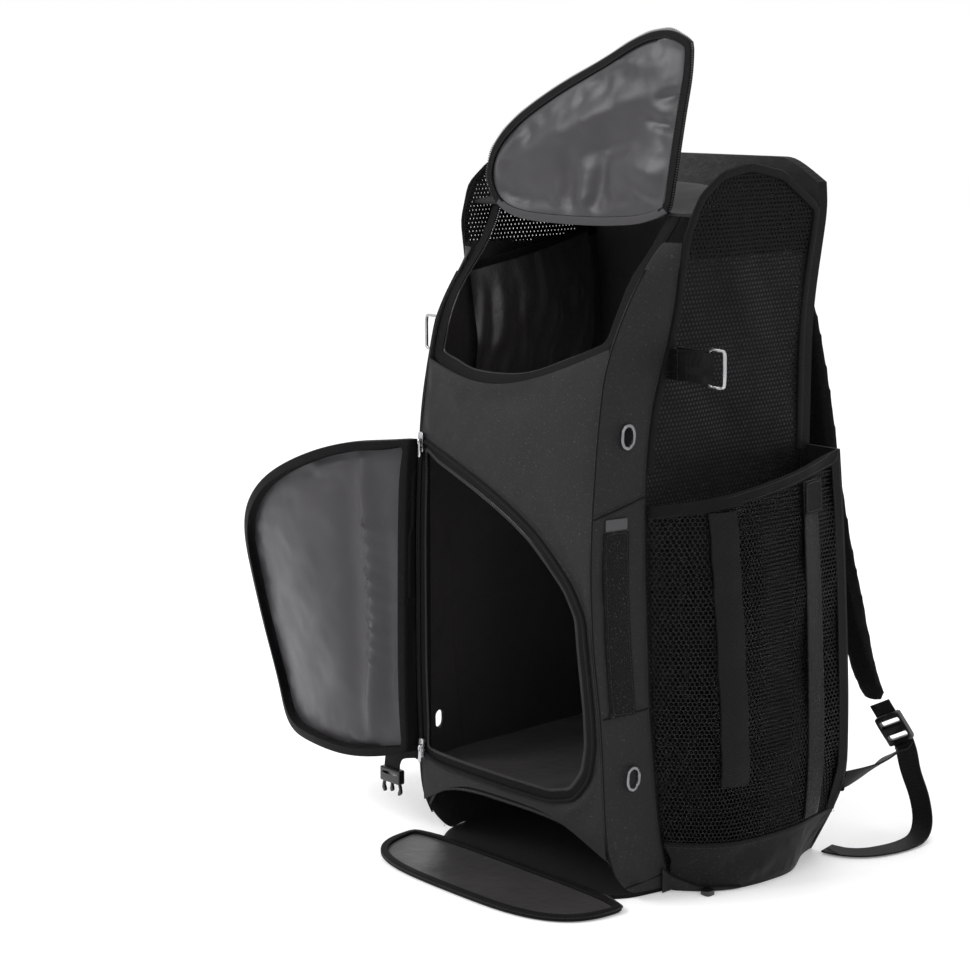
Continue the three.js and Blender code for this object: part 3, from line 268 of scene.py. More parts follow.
    def cloth_shade(self) -> bpy.types.NodeTree:
        """Builds the uneven colour, dust and crinkle of used cloth, with painted shade where its threads
        dip and painted highlight on their tops.

        Returns:
            The node group.
        """
        t, given, result = self.start(
            "cloth_shade",
            {"Vector": None, "Base": (0.02, 0.02, 0.02, 1.0), "Thread": 0.5, "Contrast": 0.2,
             "Mottle": 0.2, "Dust": 0.02, "Gloss": 0.8},
            ["Color", "Roughness", "Crinkle"])
        cloud = t.noise(given["Vector"], 9.0)
        specks = t.noise(given["Vector"], 520.0, 2.0)
        uneven = t.math("SUBTRACT", cloud, 0.5)
        shade = t.math("MULTIPLY_ADD", uneven, given["Mottle"], 1.0)
        # Painted shade and highlight: the threads' height darkens the colour in their dips and lightens it
        # on their tops.
        thread = t.math("MULTIPLY", t.math("SUBTRACT", given["Thread"], 0.5), given["Contrast"])
        tone = t.math("ADD", shade, thread)
        # Random mottle together with the painted shade and highlight of the threads.
        mottled_and_thread_shaded = t.add("VectorMath", {0: given["Base"], "Scale": tone}, operation="SCALE")
        dusty = t.math("MULTIPLY", t.band(specks, 0.6, 0.75), given["Dust"])
        colour = t.add("VectorMath", {0: mottled_and_thread_shaded.outputs["Vector"], 1: t.add(
            "CombineXYZ", {0: dusty, 1: dusty, 2: dusty}).outputs[0]}, operation="ADD")
        t.put(result["Color"], colour.outputs["Vector"])
        t.put(result["Roughness"], t.math("MULTIPLY_ADD", uneven, 0.25, given["Gloss"]))
        t.put(result["Crinkle"], t.noise(given["Vector"], 70.0, 4.0))
        return t.tree

    def moulded_grain(self) -> bpy.types.NodeTree:
        """Builds the fine grain and rubbed patches of moulded plastic or plated metal.

        Returns:
            The node group.
        """
        t, given, result = self.start(
            "moulded_grain", {"Vector": None, "Base": (0.01, 0.01, 0.01, 1.0), "Gloss": 0.4,
                              "Wear": 0.2}, ["Color", "Roughness", "Height"])
        grain = t.noise(given["Vector"], 1400.0, 2.0)
        rubbed = t.band(t.noise(given["Vector"], 160.0, 5.0), 0.5, 0.7)
        lift = t.math("MULTIPLY", rubbed, given["Wear"])
        tone = t.math("ADD", lift, 1.0)
        colour = t.add("VectorMath", {0: given["Base"], "Scale": tone}, operation="SCALE")
        t.put(result["Color"], colour.outputs["Vector"])
        t.put(result["Roughness"], t.math("MULTIPLY_ADD", lift, 0.5, given["Gloss"]))
        t.put(result["Height"], grain)
        return t.tree


EFFECTS = Effects()


class Pattern(Enum):
    """How a cloth is made, and the effect that draws it."""

    WEAVE = "plain_weave"
    TWILL = "twill_lines"
    NET = "net_cells"
    PILE = "pile_fuzz"


@dataclass(frozen=True)
class Cloth:
    """A cloth finish. Pitch is the distance between its threads, relief their height, contrast the painted
    shade and highlight that their height puts into the colour.
    """

    name: str
    slot: str
    color: tuple[float, float, float]
    roughness: float
    pattern: Pattern
    pitch: float
    relief: float
    contrast: float = 0.25
    mottle: float = 0.25
    dust: float = 0.01
    crinkle: float = 0.0
    sheen: float = 0.0
    hole: float = 0.0
    slant: float = 1.0
    shine: float = 0.12

    def material(self) -> bpy.types.Material:
        """Returns the finish as a material, made the first time.

        Returns:
            The material.
        """
        made = bpy.data.materials.get(self.name)
        if made is not None:
            return made
        made = bpy.data.materials.new(self.name)
        made.use_nodes = True
        t = Tree(made.node_tree)
        shader = t.tree.nodes["Principled BSDF"]
        flat = t.add("UVMap").outputs["UV"]
        place = t.add("TexCoord").outputs["Object"]
        pattern = t.add("Group", node_tree=EFFECTS.group(self.pattern.value))
        t.put(pattern.inputs["Vector"], flat)
        t.put(pattern.inputs["Pitch"], self.pitch)
        if self.pattern is Pattern.TWILL:
            t.put(pattern.inputs["Slant"], self.slant)
        if self.pattern is Pattern.NET:
            t.put(pattern.inputs["Hole"], self.hole)
            t.put(shader.inputs["Alpha"], pattern.outputs["Cover"])
        shade = t.add("Group", node_tree=EFFECTS.group("cloth_shade"))
        # The pattern's height also goes into the colour, as painted shade in the thread dips and painted
        # highlight on the tops.
        values = {"Vector": place, "Base": (*self.color, 1.0), "Thread": pattern.outputs["Height"],
                  "Contrast": self.contrast, "Mottle": self.mottle, "Dust": self.dust,
                  "Gloss": self.roughness}
        for key, value in values.items():
            t.put(shade.inputs[key], value)
        threads = t.add("Bump", {"Height": pattern.outputs["Height"], "Distance": self.relief,
                                 "Strength": 0.6})
        crinkled = t.add("Bump", {"Height": shade.outputs["Crinkle"], "Distance": 0.001 + self.crinkle,
                                  "Strength": min(1.0, 60 * self.crinkle + 0.05),
                                  "Normal": threads.outputs["Normal"]})
        t.put(shader.inputs["Base Color"], shade.outputs["Color"])
        t.put(shader.inputs["Roughness"], shade.outputs["Roughness"])
        t.put(shader.inputs["Normal"], crinkled.outputs["Normal"])
        shader.inputs["Sheen Weight"].default_value = self.sheen
        shader.inputs["Sheen Roughness"].default_value = 0.4
        shader.inputs["Specular IOR Level"].default_value = self.shine
        made.diffuse_color = (*self.color, 1.0)
        return made


@dataclass(frozen=True)
class Moulded:
    """A finish of moulded plastic or plated metal."""

    name: str
    slot: str
    color: tuple[float, float, float]
    roughness: float
    metallic: float = 0.0
    wear: float = 0.3
    coat: float = 0.0

    def material(self) -> bpy.types.Material:
        """Returns the finish as a material, made the first time.

        Returns:
            The material.
        """
        made = bpy.data.materials.get(self.name)
        if made is not None:
            return made
        made = bpy.data.materials.new(self.name)
        made.use_nodes = True
        t = Tree(made.node_tree)
        shader = t.tree.nodes["Principled BSDF"]
        grain = t.add("Group", node_tree=EFFECTS.group("moulded_grain"))
        values = {"Vector": t.add("TexCoord").outputs["Object"], "Base": (*self.color, 1.0),
                  "Gloss": self.roughness, "Wear": self.wear}
        for key, value in values.items():
            t.put(grain.inputs[key], value)
        bump = t.add("Bump", {"Height": grain.outputs["Height"], "Distance": 0.0002, "Strength": 0.15})
        t.put(shader.inputs["Base Color"], grain.outputs["Color"])
        t.put(shader.inputs["Roughness"], grain.outputs["Roughness"])
        t.put(shader.inputs["Normal"], bump.outputs["Normal"])
        shader.inputs["Metallic"].default_value = self.metallic
        shader.inputs["Coat Weight"].default_value = self.coat
        made.diffuse_color = (*self.color, 1.0)
        return made


Finish = Cloth | Moulded

SHELL = Cloth("shell_cloth", "shell", (0.0125, 0.0125, 0.0133), 0.6, Pattern.WEAVE, 0.0011, 0.0003,
              contrast=0.5, mottle=0.25, dust=0.03, crinkle=0.0002, sheen=0.04)
SHELL_BACKING = Cloth("shell_backing", "shell", (0.006, 0.006, 0.0065), 0.7, Pattern.WEAVE, 0.0011,
                      0.0002, crinkle=0.0004)
BOOT = Cloth("boot_cloth", "boot", (0.0045, 0.0045, 0.005), 0.6, Pattern.WEAVE, 0.0014, 0.0003,
             contrast=0.35, mottle=0.3, dust=0.03, crinkle=0.0003, sheen=0.05)
LINING = Cloth("satin_lining", "lining", (0.020, 0.0183, 0.0215), 0.4, Pattern.WEAVE, 0.0005, 0.0001,
               contrast=0.15, mottle=0.25, dust=0.01, crinkle=0.0012, sheen=0.05, shine=0.4)
INNER_LINING = Cloth("inner_lining", "lining", (0.02, 0.018, 0.019), 0.36, Pattern.WEAVE, 0.0005,
                     0.0001, contrast=0.15, mottle=0.5, crinkle=0.003, sheen=0.1, shine=0.5)
AIR_MESH = Cloth("air_mesh", "mesh", (0.002, 0.002, 0.0022), 0.75, Pattern.NET, 0.0052, 0.0008,
                 contrast=0.5, hole=0.27)
BACKING_MESH = Cloth("mesh_backing", "mesh", (0.005, 0.005, 0.0055), 0.75, Pattern.NET, 0.0052, 0.0008,
                     contrast=0.5, hole=0.22)
SLEEVE_NET = Cloth("sleeve_net", "mesh", (0.002, 0.002, 0.0022), 0.5, Pattern.NET, 0.0050, 0.0006,
                   contrast=0.5, hole=0.43, sheen=0.03)
SPACER_MESH = Cloth("spacer_mesh", "mesh", (0.005, 0.005, 0.0053), 0.8, Pattern.PILE, 0.0028,
                    0.0015, contrast=1.4)
BINDING = Cloth("edge_binding", "binding", (0.0016, 0.0016, 0.0018), 0.7, Pattern.TWILL, 0.0016,
                0.0004, contrast=0.5, slant=0.3, sheen=0.02)
TAPE = Cloth("zip_tape", "binding", (0.0018, 0.0018, 0.002), 0.75, Pattern.TWILL, 0.0014, 0.0003,
             contrast=0.5, slant=0.0)
WEBBING = Cloth("ribbed_webbing", "webbing", (0.002, 0.002, 0.0022), 0.55, Pattern.TWILL, 0.0022,
                0.0005, contrast=0.6, slant=0.15, sheen=0.03)
HOOK_TAPE = Cloth("hook_tape", "binding", (0.0025, 0.0025, 0.0027), 0.85, Pattern.PILE, 0.0016,
                  0.0012, contrast=1.2, dust=0.05, sheen=0.2)
TAG_CLOTH = Cloth("tag_cloth", "shell", (0.06, 0.06, 0.062), 0.6, Pattern.WEAVE, 0.0006, 0.0002,
                  contrast=0.4, mottle=0.4)
THREAD = Cloth("sewing_thread", "binding", (0.011, 0.011, 0.0115), 0.5, Pattern.TWILL, 0.0006,
               0.0002, sheen=0.2)
METAL = Moulded("plated_metal", "metal", (0.42, 0.42, 0.43), 0.25, metallic=1.0, wear=0.35)
DARK_METAL = Moulded("dark_metal", "metal", (0.2, 0.2, 0.21), 0.28, metallic=1.0, wear=0.6)
PLASTIC = Moulded("glossy_plastic", "plastic", (0.004, 0.004, 0.0045), 0.3, wear=0.4, coat=0.15)
TEETH = Moulded("zip_teeth", "binding", (0.009, 0.009, 0.0095), 0.3, wear=0.5)


# Shapes


@dataclass
class Line:
    """A run of points on the bag, with the way out of the surface at each."""

    points: Array
    normals: Array
    closed: bool = False

    def lengths(self) -> Array:
        """Returns the distance from the start to each point, and round to the start if closed.

        Returns:
            A length for each point.
        """
        points = np.vstack([self.points, self.points[:1]]) if self.closed else self.points
        steps = np.linalg.norm(np.diff(points, axis=0), axis=1)
        return np.concatenate([[0.0], np.cumsum(steps)])

    def spaced(self, pitch: float) -> "Line":
        """Returns the line with points at an even pitch, rounded off between its corners.

        Args:
            pitch: distance between two points.

        Returns:
            The new line.
        """
        ends = self.lengths()
        count = max(3, round(ends[-1] / pitch))
        at = np.linspace(0.0, ends[-1], count, endpoint=not self.closed)
        source = np.hstack([self.points, self.normals])
        if self.closed:
            source = np.vstack([source, source[:1]])
        rows = np.stack([np.interp(at, ends, column) for column in source.T], axis=1)
        mean = max(1, int(0.4 * ends[-1] / max(1, len(self.points)) / pitch))
        rows = self.smoothed(rows, mean)
        normals = rows[:, 3:] / np.linalg.norm(rows[:, 3:], axis=1, keepdims=True)
        return Line(rows[:, :3], normals, self.closed)

    def smoothed(self, rows: Array, passes: int) -> Array:
        """Returns rows of numbers with each moved towards the mean of its neighbours.

        Args:
            rows: one row for each point.
            passes: how often they are blended.

        Returns:
            The blended rows.
        """
        for _ in range(passes):
            before, after = np.roll(rows, 1, axis=0), np.roll(rows, -1, axis=0)
            eased = (before + 2 * rows + after) / 4
            if not self.closed:
                eased[0], eased[-1] = rows[0], rows[-1]
            rows = eased
        return rows

    def along(self) -> Array:
        """Returns the direction of the line at each point.

        Returns:
            A unit vector for each point.
        """
        if self.closed:
            runs = np.roll(self.points, -1, axis=0) - np.roll(self.points, 1, axis=0)
        else:
            runs = np.gradient(self.points, axis=0)
        return runs / np.maximum(np.linalg.norm(runs, axis=1, keepdims=True), 1e-9)

    def across(self) -> Array:
        """Returns the direction across the line, in the surface, at each point."""
        sideways = np.cross(self.normals, self.along())
        return sideways / np.maximum(np.linalg.norm(sideways, axis=1, keepdims=True), 1e-9)

    def moved(self, sideways: float, out: float = 0.0) -> "Line":
        """Returns the line moved sideways in its surface and out of it."""
        points = self.points + sideways * self.across() + out * self.normals
        return Line(points, self.normals, self.closed)

    def where(self, kept: Array) -> "Line":
        """Returns the open run of a closed line whose points are kept.

        Args:
            kept: whether each point is kept, as one unbroken run.

        Returns:
            The run, in the line's own order.
        """
        start = int(np.argmax(kept & ~np.roll(kept, 1)))
        order = (np.arange(len(kept)) + start) % len(kept)
        order = order[kept[order]]
        return Line(self.points[order], self.normals[order])

    def inset(self, gap: float, out: float) -> "Line":
        """Returns the line moved inwards by a gap, and out of the surface."""
        return min((self.moved(aside * gap, out) for aside in (1, -1)),
                   key=lambda line: line.lengths()[-1])

    def part(self, low: float, high: float) -> "Line":
        """Returns the open part of the line between two shares of its point count.

        Args:
            low: share at which it starts.
            high: share at which it ends.

        Returns:
            The open line.
        """
        count = len(self.points)
        picked = slice(round(low * count), max(round(high * count), round(low * count) + 2))
        return Line(self.points[picked], self.normals[picked])


def node_shape(name: str, towards: Sequence[float] | None = None) -> bmesh.types.BMesh:
    """Reads a CAD node into an editable mesh and marks its faces.

    Args:
        name: the CAD node.
        towards: direction that the shown face looks in. None marks every face as shown.

    Returns:
        The mesh, with each face's material index as its Layer.
    """
    bm = bmesh.new()
    bm.from_mesh(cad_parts[name].data)
    bmesh.ops.remove_doubles(bm, verts=bm.verts, dist=1e-5)
    bmesh.ops.join_triangles(
        bm, faces=bm.faces, angle_face_threshold=math.radians(40), angle_shape_threshold=math.pi)
    bm.normal_update()
    if towards is None:
        for face in bm.faces:
            face.material_index = 0
        return bm
    mark_layers(bm, Vector(towards))
    return bm


def mark_layers(bm: bmesh.types.BMesh, towards: Vector) -> None:
    """Marks the two largest smooth patches as shown and behind, and the rest as edge.

    Args:
        bm: the mesh.
        towards: direction that the shown face looks in.
    """
    bend = math.cos(math.radians(50))
    patches: list[list[bmesh.types.BMFace]] = []
    seen: set[int] = set()
    bm.faces.ensure_lookup_table()
    bm.faces.index_update()
    for face in bm.faces:
        if face.index in seen:
            continue
        patch, waiting = [], [face]
        seen.add(face.index)
        while waiting:
            here = waiting.pop()
            patch.append(here)
            for edge in here.edges:
                for other in edge.link_faces:
                    if other.index not in seen and other.normal.dot(here.normal) > bend:
                        seen.add(other.index)
                        waiting.append(other)
        patches.append(patch)
    patches.sort(key=lambda patch: -sum(face.calc_area() for face in patch))
    for patch in patches:
        for face in patch:
            face.material_index = Layer.EDGE.value
    faces = patches[:2]
    looks = [sum((face.normal * face.calc_area() for face in patch), Vector()).dot(towards)
             for patch in faces]
    order = (Layer.SHOWN, Layer.BEHIND) if looks[0] > looks[-1] else (Layer.BEHIND, Layer.SHOWN)
    for patch, layer in zip(faces, order):
        for face in patch:
            face.material_index = layer.value


def rim_lines(bm: bmesh.types.BMesh, layer: Layer = Layer.SHOWN) -> list[Line]:
    """Finds the closed lines round one layer of a panel, longest first.

    Args:
        bm: a mesh with marked layers.
        layer: the layer to go round.

    Returns:
        The lines, each with the layer's own normals.
    """
    after: dict[int, int] = {}
    normals: dict[int, Vector] = {}
    places: dict[int, Vector] = {}
    for face in bm.faces:
        if face.material_index != layer.value:
            continue
        for loop in face.loops:
            normals[loop.vert.index] = normals.get(loop.vert.index, Vector()) + face.normal
            places[loop.vert.index] = loop.vert.co
            others = [f for f in loop.edge.link_faces if f is not face]
            if not others or others[0].material_index != layer.value:
                after[loop.vert.index] = loop.link_loop_next.vert.index
    lines = []
    while after:
        order = []
        here = min(after)
        while here in after:
            order.append(here)
            here = after.pop(here)
        points = np.array([places[n] for n in order])
        outs = np.array([normals[n].normalized() for n in order])
        lines.append(Line(points, outs, True))
    return sorted(lines, key=lambda line: -line.lengths()[-1])


def strip_sides(loop: Line) -> tuple[Line, Line]:
    """Splits the line round a strip into its two long sides, which run the same way.

    Args:
        loop: the closed line round the strip's shown face.

    Returns:
        The two sides.
    """
    count = len(loop.points)
    half = count // 2
    steps = np.linalg.norm(np.roll(loop.points, -1, axis=0) - loop.points, axis=1)
    start = int(np.argmin(steps[:half] + steps[half:2 * half]))
    order = (np.arange(count) + start + 1) % count
    points, normals = loop.points[order], loop.normals[order]
    left = Line(points[:half], normals[:half])
    right = Line(points[half:][::-1], normals[half:][::-1])
    return left, right


def strip_middle(loop: Line) -> Line:
    """Returns the line along the middle of a strip.

    Args:
        loop: the closed line round the strip's shown face.

    Returns:
        The middle line.
    """
    left, right = strip_sides(loop)
    normals = left.normals + right.normals
    return Line((left.points + right.points) / 2,
                normals / np.linalg.norm(normals, axis=1, keepdims=True))


def subdivided(bm: bmesh.types.BMesh, levels: int, crease: float = 1.0,
               bend: float = 50.0) -> bpy.types.Mesh:
    """Rounds a mesh off, keeping creases where it bends sharply.

    Args:
        bm: the mesh, which is freed.
        levels: how many times each face is split.
        crease: how sharp the kept creases are, from 0 to 1.
        bend: angle in degrees from which an edge is a crease.

    Returns:
        The new mesh.
    """
    creases = bm.edges.layers.float.new("crease_edge")
    limit = math.radians(bend)
    for edge in bm.edges:
        if len(edge.link_faces) == 2 and edge.calc_face_angle(0.0) > limit:
            edge[creases] = crease
    rough = bpy.data.meshes.new("rough")
    bm.to_mesh(rough)
    bm.free()
    holder = bpy.data.objects.new("rough", rough)
    bpy.context.scene.collection.objects.link(holder)
    rounding = holder.modifiers.new("rounding", "SUBSURF")
    rounding.levels = levels
    rounding.render_levels = levels
    graph = bpy.context.evaluated_depsgraph_get()
    made = bpy.data.meshes.new_from_object(holder.evaluated_get(graph), depsgraph=graph)
    bpy.data.objects.remove(holder)
    bpy.data.meshes.remove(rough)
    return made


def mesh_points(mesh: bpy.types.Mesh) -> Array:
    """Returns a mesh's vertices as rows of three numbers.

    Args:
        mesh: the mesh.

    Returns:
        One row for each vertex.
    """
    points = np.empty(3 * len(mesh.vertices))
    mesh.vertices.foreach_get("co", points)
    return points.reshape(-1, 3)


def set_points(mesh: bpy.types.Mesh, points: Array) -> None:
    """Writes a mesh's vertices from rows of three numbers."""
    mesh.vertices.foreach_set("co", points.ravel())
    mesh.update()


def mesh_from(points: Array, faces: Sequence[Sequence[int]], name: str = "shape") -> bpy.types.Mesh:
    """Builds a mesh from points and faces, with its faces turned outwards.

    Args:
        points: rows of three numbers.
        faces: point numbers of each face.
        name: the mesh's name.

    Returns:
        The mesh.
    """
    mesh = bpy.data.meshes.new(name)
    mesh.from_pydata([tuple(point) for point in points], [], [tuple(face) for face in faces])
    bm = bmesh.new()
    bm.from_mesh(mesh)
    bmesh.ops.recalc_face_normals(bm, faces=bm.faces)
    bm.to_mesh(mesh)
    bm.free()
    return mesh


def soft_waves(flat: Array, size: float, seed: int) -> Array:
    """Returns gentle uneven waves, from about -1 to 1, at places in a plane.

    Args:
        flat: rows of two coordinates in metres.
        size: usual distance between two crests.
        seed: picks the waves.

    Returns:
        A height for each place.
    """
    rng = np.random.default_rng(seed)
    total = np.zeros(len(flat))
    for _ in range(6):
        angle = rng.uniform(0, math.pi)
        stretch = size * rng.uniform(0.6, 1.7)
        way = np.array([math.cos(angle), math.sin(angle)])
        side = np.array([-way[1], way[0]])
        bent = 1.3 * np.sin(2 * math.pi * flat @ side / (1.7 * stretch) + rng.uniform(0, 6.28))
        total += np.sin(2 * math.pi * flat @ way / stretch + bent + rng.uniform(0, 6.28))
    return total / 3.2


FOLD_DEPTH = 1.8


@dataclass(frozen=True)
class Fold:
    """A soft ridge between two places in a panel's plane, or a dent. Sizes are in mm."""

    start: tuple[float, float]
    end: tuple[float, float]
    width: float
    height: float

    def heights(self, flat: Array) -> Array:
        """Returns the fold's height at places in the plane, in metres.

        Args:
            flat: rows of two coordinates.

        Returns:
            A height for each place.
        """
        first, last = np.array(self.start) * MM, np.array(self.end) * MM
        run = last - first
        share = np.clip((flat - first) @ run / max(run @ run, 1e-12), 0, 1)
        gap = np.linalg.norm(flat - first - share[:, None] * run, axis=1)
        fade = np.sqrt(np.clip(np.sin(math.pi * (0.08 + 0.84 * share)), 0, 1))
        return FOLD_DEPTH * self.height * MM * fade * np.exp(-((gap / (self.width * MM)) ** 2))


Plane = Callable[[Array], Array]


def plane(u: int, v: int) -> Plane:
    """Returns a function that flattens points onto two of their axes."""
    return lambda points: points[:, [u, v]]


def unrolled(mesh: bpy.types.Mesh, u: int, v: int) -> Plane:
    """Returns a function that flattens a wall that bends as it runs along one axis.

    Args:
        mesh: the wall. The lengths are measured on its shown face.
        u: the axis that it runs along.
        v: the axis that stays as it is.

    Returns:
        The function.
    """
    shown = {n for face in mesh.polygons if face.material_index == 0 for n in face.vertices}
    points = mesh_points(mesh)[sorted(shown)]
    other = 3 - u - v
    row = points[np.abs(points[:, v] - np.median(points[:, v])) < 0.03]
    inner = row[np.argmin(np.abs(row[:, other])), other]
    centre = np.array([(row[:, u].min() + row[:, u].max()) / 2, 0.96 * inner])

    def turn(places: Array) -> Array:
        """Returns how far round the wall each place is."""
        return np.arctan2(places[:, u] - centre[0], np.abs(places[:, other]) - abs(centre[1]))

    angles = turn(row)
    steps = np.linspace(angles.min(), angles.max(), 40)
    near = np.abs(angles[None, :] - steps[:, None]).argmin(axis=1)
    path = row[near][:, [u, other]]
    along = np.concatenate([[0.0], np.cumsum(np.linalg.norm(np.diff(path, axis=0), axis=1))])
    return lambda places: np.stack([np.interp(turn(places), steps, along), places[:, v]], axis=1)


@dataclass
class Relief:
    """How a panel's cloth wrinkles. Both faces move alike, so its thickness stays."""

    flat: Plane
    out: tuple[float, float, float]
    folds: Sequence[Fold] = ()
    wave: float = 0.0
    wave_size: float = 0.12
    pucker: float = 0.0
    seam: float = 0.014
    seed: int = 1

    def apply(self, mesh: bpy.types.Mesh) -> None:
        """Moves a mesh's vertices, less and less towards its edge.

        Args:
            mesh: the panel's mesh.
        """
        points = mesh_points(mesh)
        flat = self.flat(points)
        gap = rim_distance(mesh, points)
        mask = np.clip(gap / self.seam, 0, 1)
        mask = mask * mask * (3 - 2 * mask)
        height = self.wave * soft_waves(flat, self.wave_size, self.seed)
        height += 0.35 * self.wave * soft_waves(flat, self.wave_size / 3, self.seed + 9)
        for fold in self.folds:
            height += fold.heights(flat)
        near = np.exp(-((gap - 0.016) / 0.014) ** 2)
        height += self.pucker * near * soft_waves(flat, 0.028, self.seed + 5)
        set_points(mesh, points + np.outer(height * mask, np.array(self.out)))


def rim_distance(mesh: bpy.types.Mesh, points: Array) -> Array:
    """Returns each vertex's distance from the panel's raw edge.

    Args:
        mesh: the panel, whose raw edge has the edge layer.
        points: its vertices.

    Returns:
        A distance for each vertex.
    """
    rim = {n for face in mesh.polygons if face.material_index == 2 for n in face.vertices}
    if not rim:
        return np.full(len(points), 1.0)
    tree = KDTree(len(rim))
    for n in rim:
        tree.insert(points[n], n)
    tree.balance()
    return np.array([tree.find(point)[2] for point in points])


def lay_uv(mesh: bpy.types.Mesh, flat: Plane | None) -> None:
    """Gives a mesh flat coordinates in metres, so that weaves keep their real scale.

    Args:
        mesh: the mesh.
        flat: how to flatten it. None uses the two axes that each face lies along.
    """
    layer = mesh.uv_layers.get("cloth") or mesh.uv_layers.new(name="cloth")
    points = mesh_points(mesh)
    corners = np.empty(len(mesh.loops), dtype=int)
    mesh.loops.foreach_get("vertex_index", corners)
    if flat is not None:
        uv = flat(points)[corners]
    else:
        normals = np.empty(3 * len(mesh.polygons))
        mesh.polygons.foreach_get("normal", normals)
        totals = np.empty(len(mesh.polygons), dtype=int)
        mesh.polygons.foreach_get("loop_total", totals)
        main = np.repeat(np.abs(normals.reshape(-1, 3)).argmax(axis=1), totals)
        pairs = np.array([[1, 2], [0, 2], [0, 1]])[main]
        corner_points = points[corners]
        uv = np.take_along_axis(corner_points, pairs, axis=1)
    layer.data.foreach_set("uv", uv.ravel())


def place_piece(name: str, mesh: bpy.types.Mesh, finishes: Sequence[Finish],
                nodes: Sequence[str] = (), flat: Plane | None = None,
                sharp: float = 38.0) -> bpy.types.Object:
    """Makes a piece of the bag from a finished mesh.

    Args:
        name: the piece's name.
        mesh: its mesh, in metres, where it belongs.
        finishes: a finish for each material index.
        nodes: CAD nodes that the piece stands for.
        flat: how its weave is laid out.
        sharp: angle in degrees from which an edge looks sharp.

    Returns:
        The piece.
    """
    mesh.name = name
    layers = np.empty(len(mesh.polygons), dtype=int)
    mesh.polygons.foreach_get("material_index", layers)
    mesh.materials.clear()
    for finish in finishes:
        mesh.materials.append(finish.material())
    mesh.polygons.foreach_set("material_index", np.minimum(layers, len(finishes) - 1))
    lay_uv(mesh, flat)
    mesh.polygons.foreach_set("use_smooth", [True] * len(mesh.polygons))
    mesh.set_sharp_from_angle(angle=math.radians(sharp))
    piece = bpy.data.objects.new(name, mesh)
    bpy.context.scene.collection.objects.link(piece)
    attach(piece, "root")
    if nodes:
        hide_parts(*nodes)
    LOG.info("%s: %d faces", name, len(mesh.polygons))
    return piece


def declare_sheet(piece: bpy.types.Object, flat: Plane,
                  rests_on: Sequence[str] = ()) -> None:
    """Declares a piece as a sheet of cloth, cut to the size that its shown face measures.

    Args:
        piece: the sheet.
        flat: how its cut lies flat.
        rests_on: what carries it. Not used.
    """
    mesh = piece.data
    spread = np.ptp(flat(mesh_points(mesh)), axis=0)


def panel(name: str, towards: Sequence[float], finishes: Sequence[Finish], levels: int = 2,
          relief: Relief | None = None, flat: Plane | None = None,
          crease: float = 1.0) -> bpy.types.Object:
    """Makes a sewn panel over the CAD node of its name.

    Args:
        name: the CAD node, and the new piece with _cloth added.
        towards: direction that its shown face looks in.
        finishes: finishes of the shown face, the face behind and the raw edge.
        levels: how finely it is split.
        relief: its folds.
        flat: how its weave is laid out. The relief's own plane is used by default.
        crease: how sharp its edges stay.

    Returns:
        The panel.
    """
    mesh = subdivided(node_shape(name, towards), levels, crease)
    if relief is not None:
        relief.apply(mesh)
        flat = flat or relief.flat
    return place_piece(f"{name}_cloth", mesh, finishes, [name], flat)


def sweep(line: Line, section: Array, name: str, finish: Finish,
          nodes: Sequence[str] = ()) -> bpy.types.Object:
    """Makes a piece by carrying a closed section along a line.

    Args:
        line: the line, with normals.
        section: rows of (sideways, out) in metres.
        name: the piece's name.
        finish: its finish.
        nodes: CAD nodes that it stands for.

    Returns:
        The piece.
    """
    points, faces = swept(line, section)
    flat_line = along_line(line)
    return place_piece(name, mesh_from(points, faces), [finish], nodes, flat_line)


def swept(line: Line, section: Array) -> tuple[Array, list[tuple[int, ...]]]:
    """Returns the points and faces of a section carried along a line.

    Args:
        line: the line, with normals.
        section: rows of (sideways, out).

    Returns:
        The points and the faces.
    """
    across, out = line.across(), line.normals
    rings = (line.points[:, None, :] + section[None, :, :1] * across[:, None, :]
             + section[None, :, 1:] * out[:, None, :])
    count, size = rings.shape[:2]
    faces: list[tuple[int, ...]] = []
    for k in range(count if line.closed else count - 1):
        following = (k + 1) % count
        for n in range(size):
            m = (n + 1) % size
            faces.append((k * size + n, k * size + m, following * size + m, following * size + n))
    if not line.closed:
        faces += [tuple(range(size)), tuple((count - 1) * size + n for n in range(size))]
    return rings.reshape(-1, 3), faces


def along_line(line: Line) -> Plane:
    """Returns a function that flattens places to (across, along) a line.

    Args:
        line: the line.

    Returns:
        The function.
    """
    points, lengths, across = line.points, line.lengths(), line.across()

    def flat(places: Array) -> Array:
        """Returns where each place lies across and along the line.

        Args:
            places: rows of three numbers.

        Returns:
            Rows of (across, along).
        """
        tree = KDTree(len(points))
        for n, point in enumerate(points):
            tree.insert(point, n)
        tree.balance()
        nearest = np.array([tree.find(place)[1] for place in places])
        gaps = places - points[nearest]
        ways = line.along()[nearest]
        aside = np.einsum("ij,ij->i", gaps, across[nearest])
        beside = np.einsum("ij,ij->i", gaps, ways)
        return np.stack([aside, lengths[nearest] + beside], axis=1)

    return flat


def round_section(width: float, height: float, count: int = 10, power: float = 1.0) -> Array:
    """Returns an oval section. A power below 1 makes it squarer.

    Args:
        width: its width.
        height: its height.
        count: number of points.
        power: how round it is.

    Returns:
        Rows of (sideways, out).
    """
    angles = 2 * math.pi * np.arange(count) / count
    cos, sin = np.cos(angles), np.sin(angles)
    across = np.sign(cos) * np.abs(cos) ** power * width / 2
    out = np.sign(sin) * np.abs(sin) ** power * height / 2
    return np.stack([across, out], axis=1)


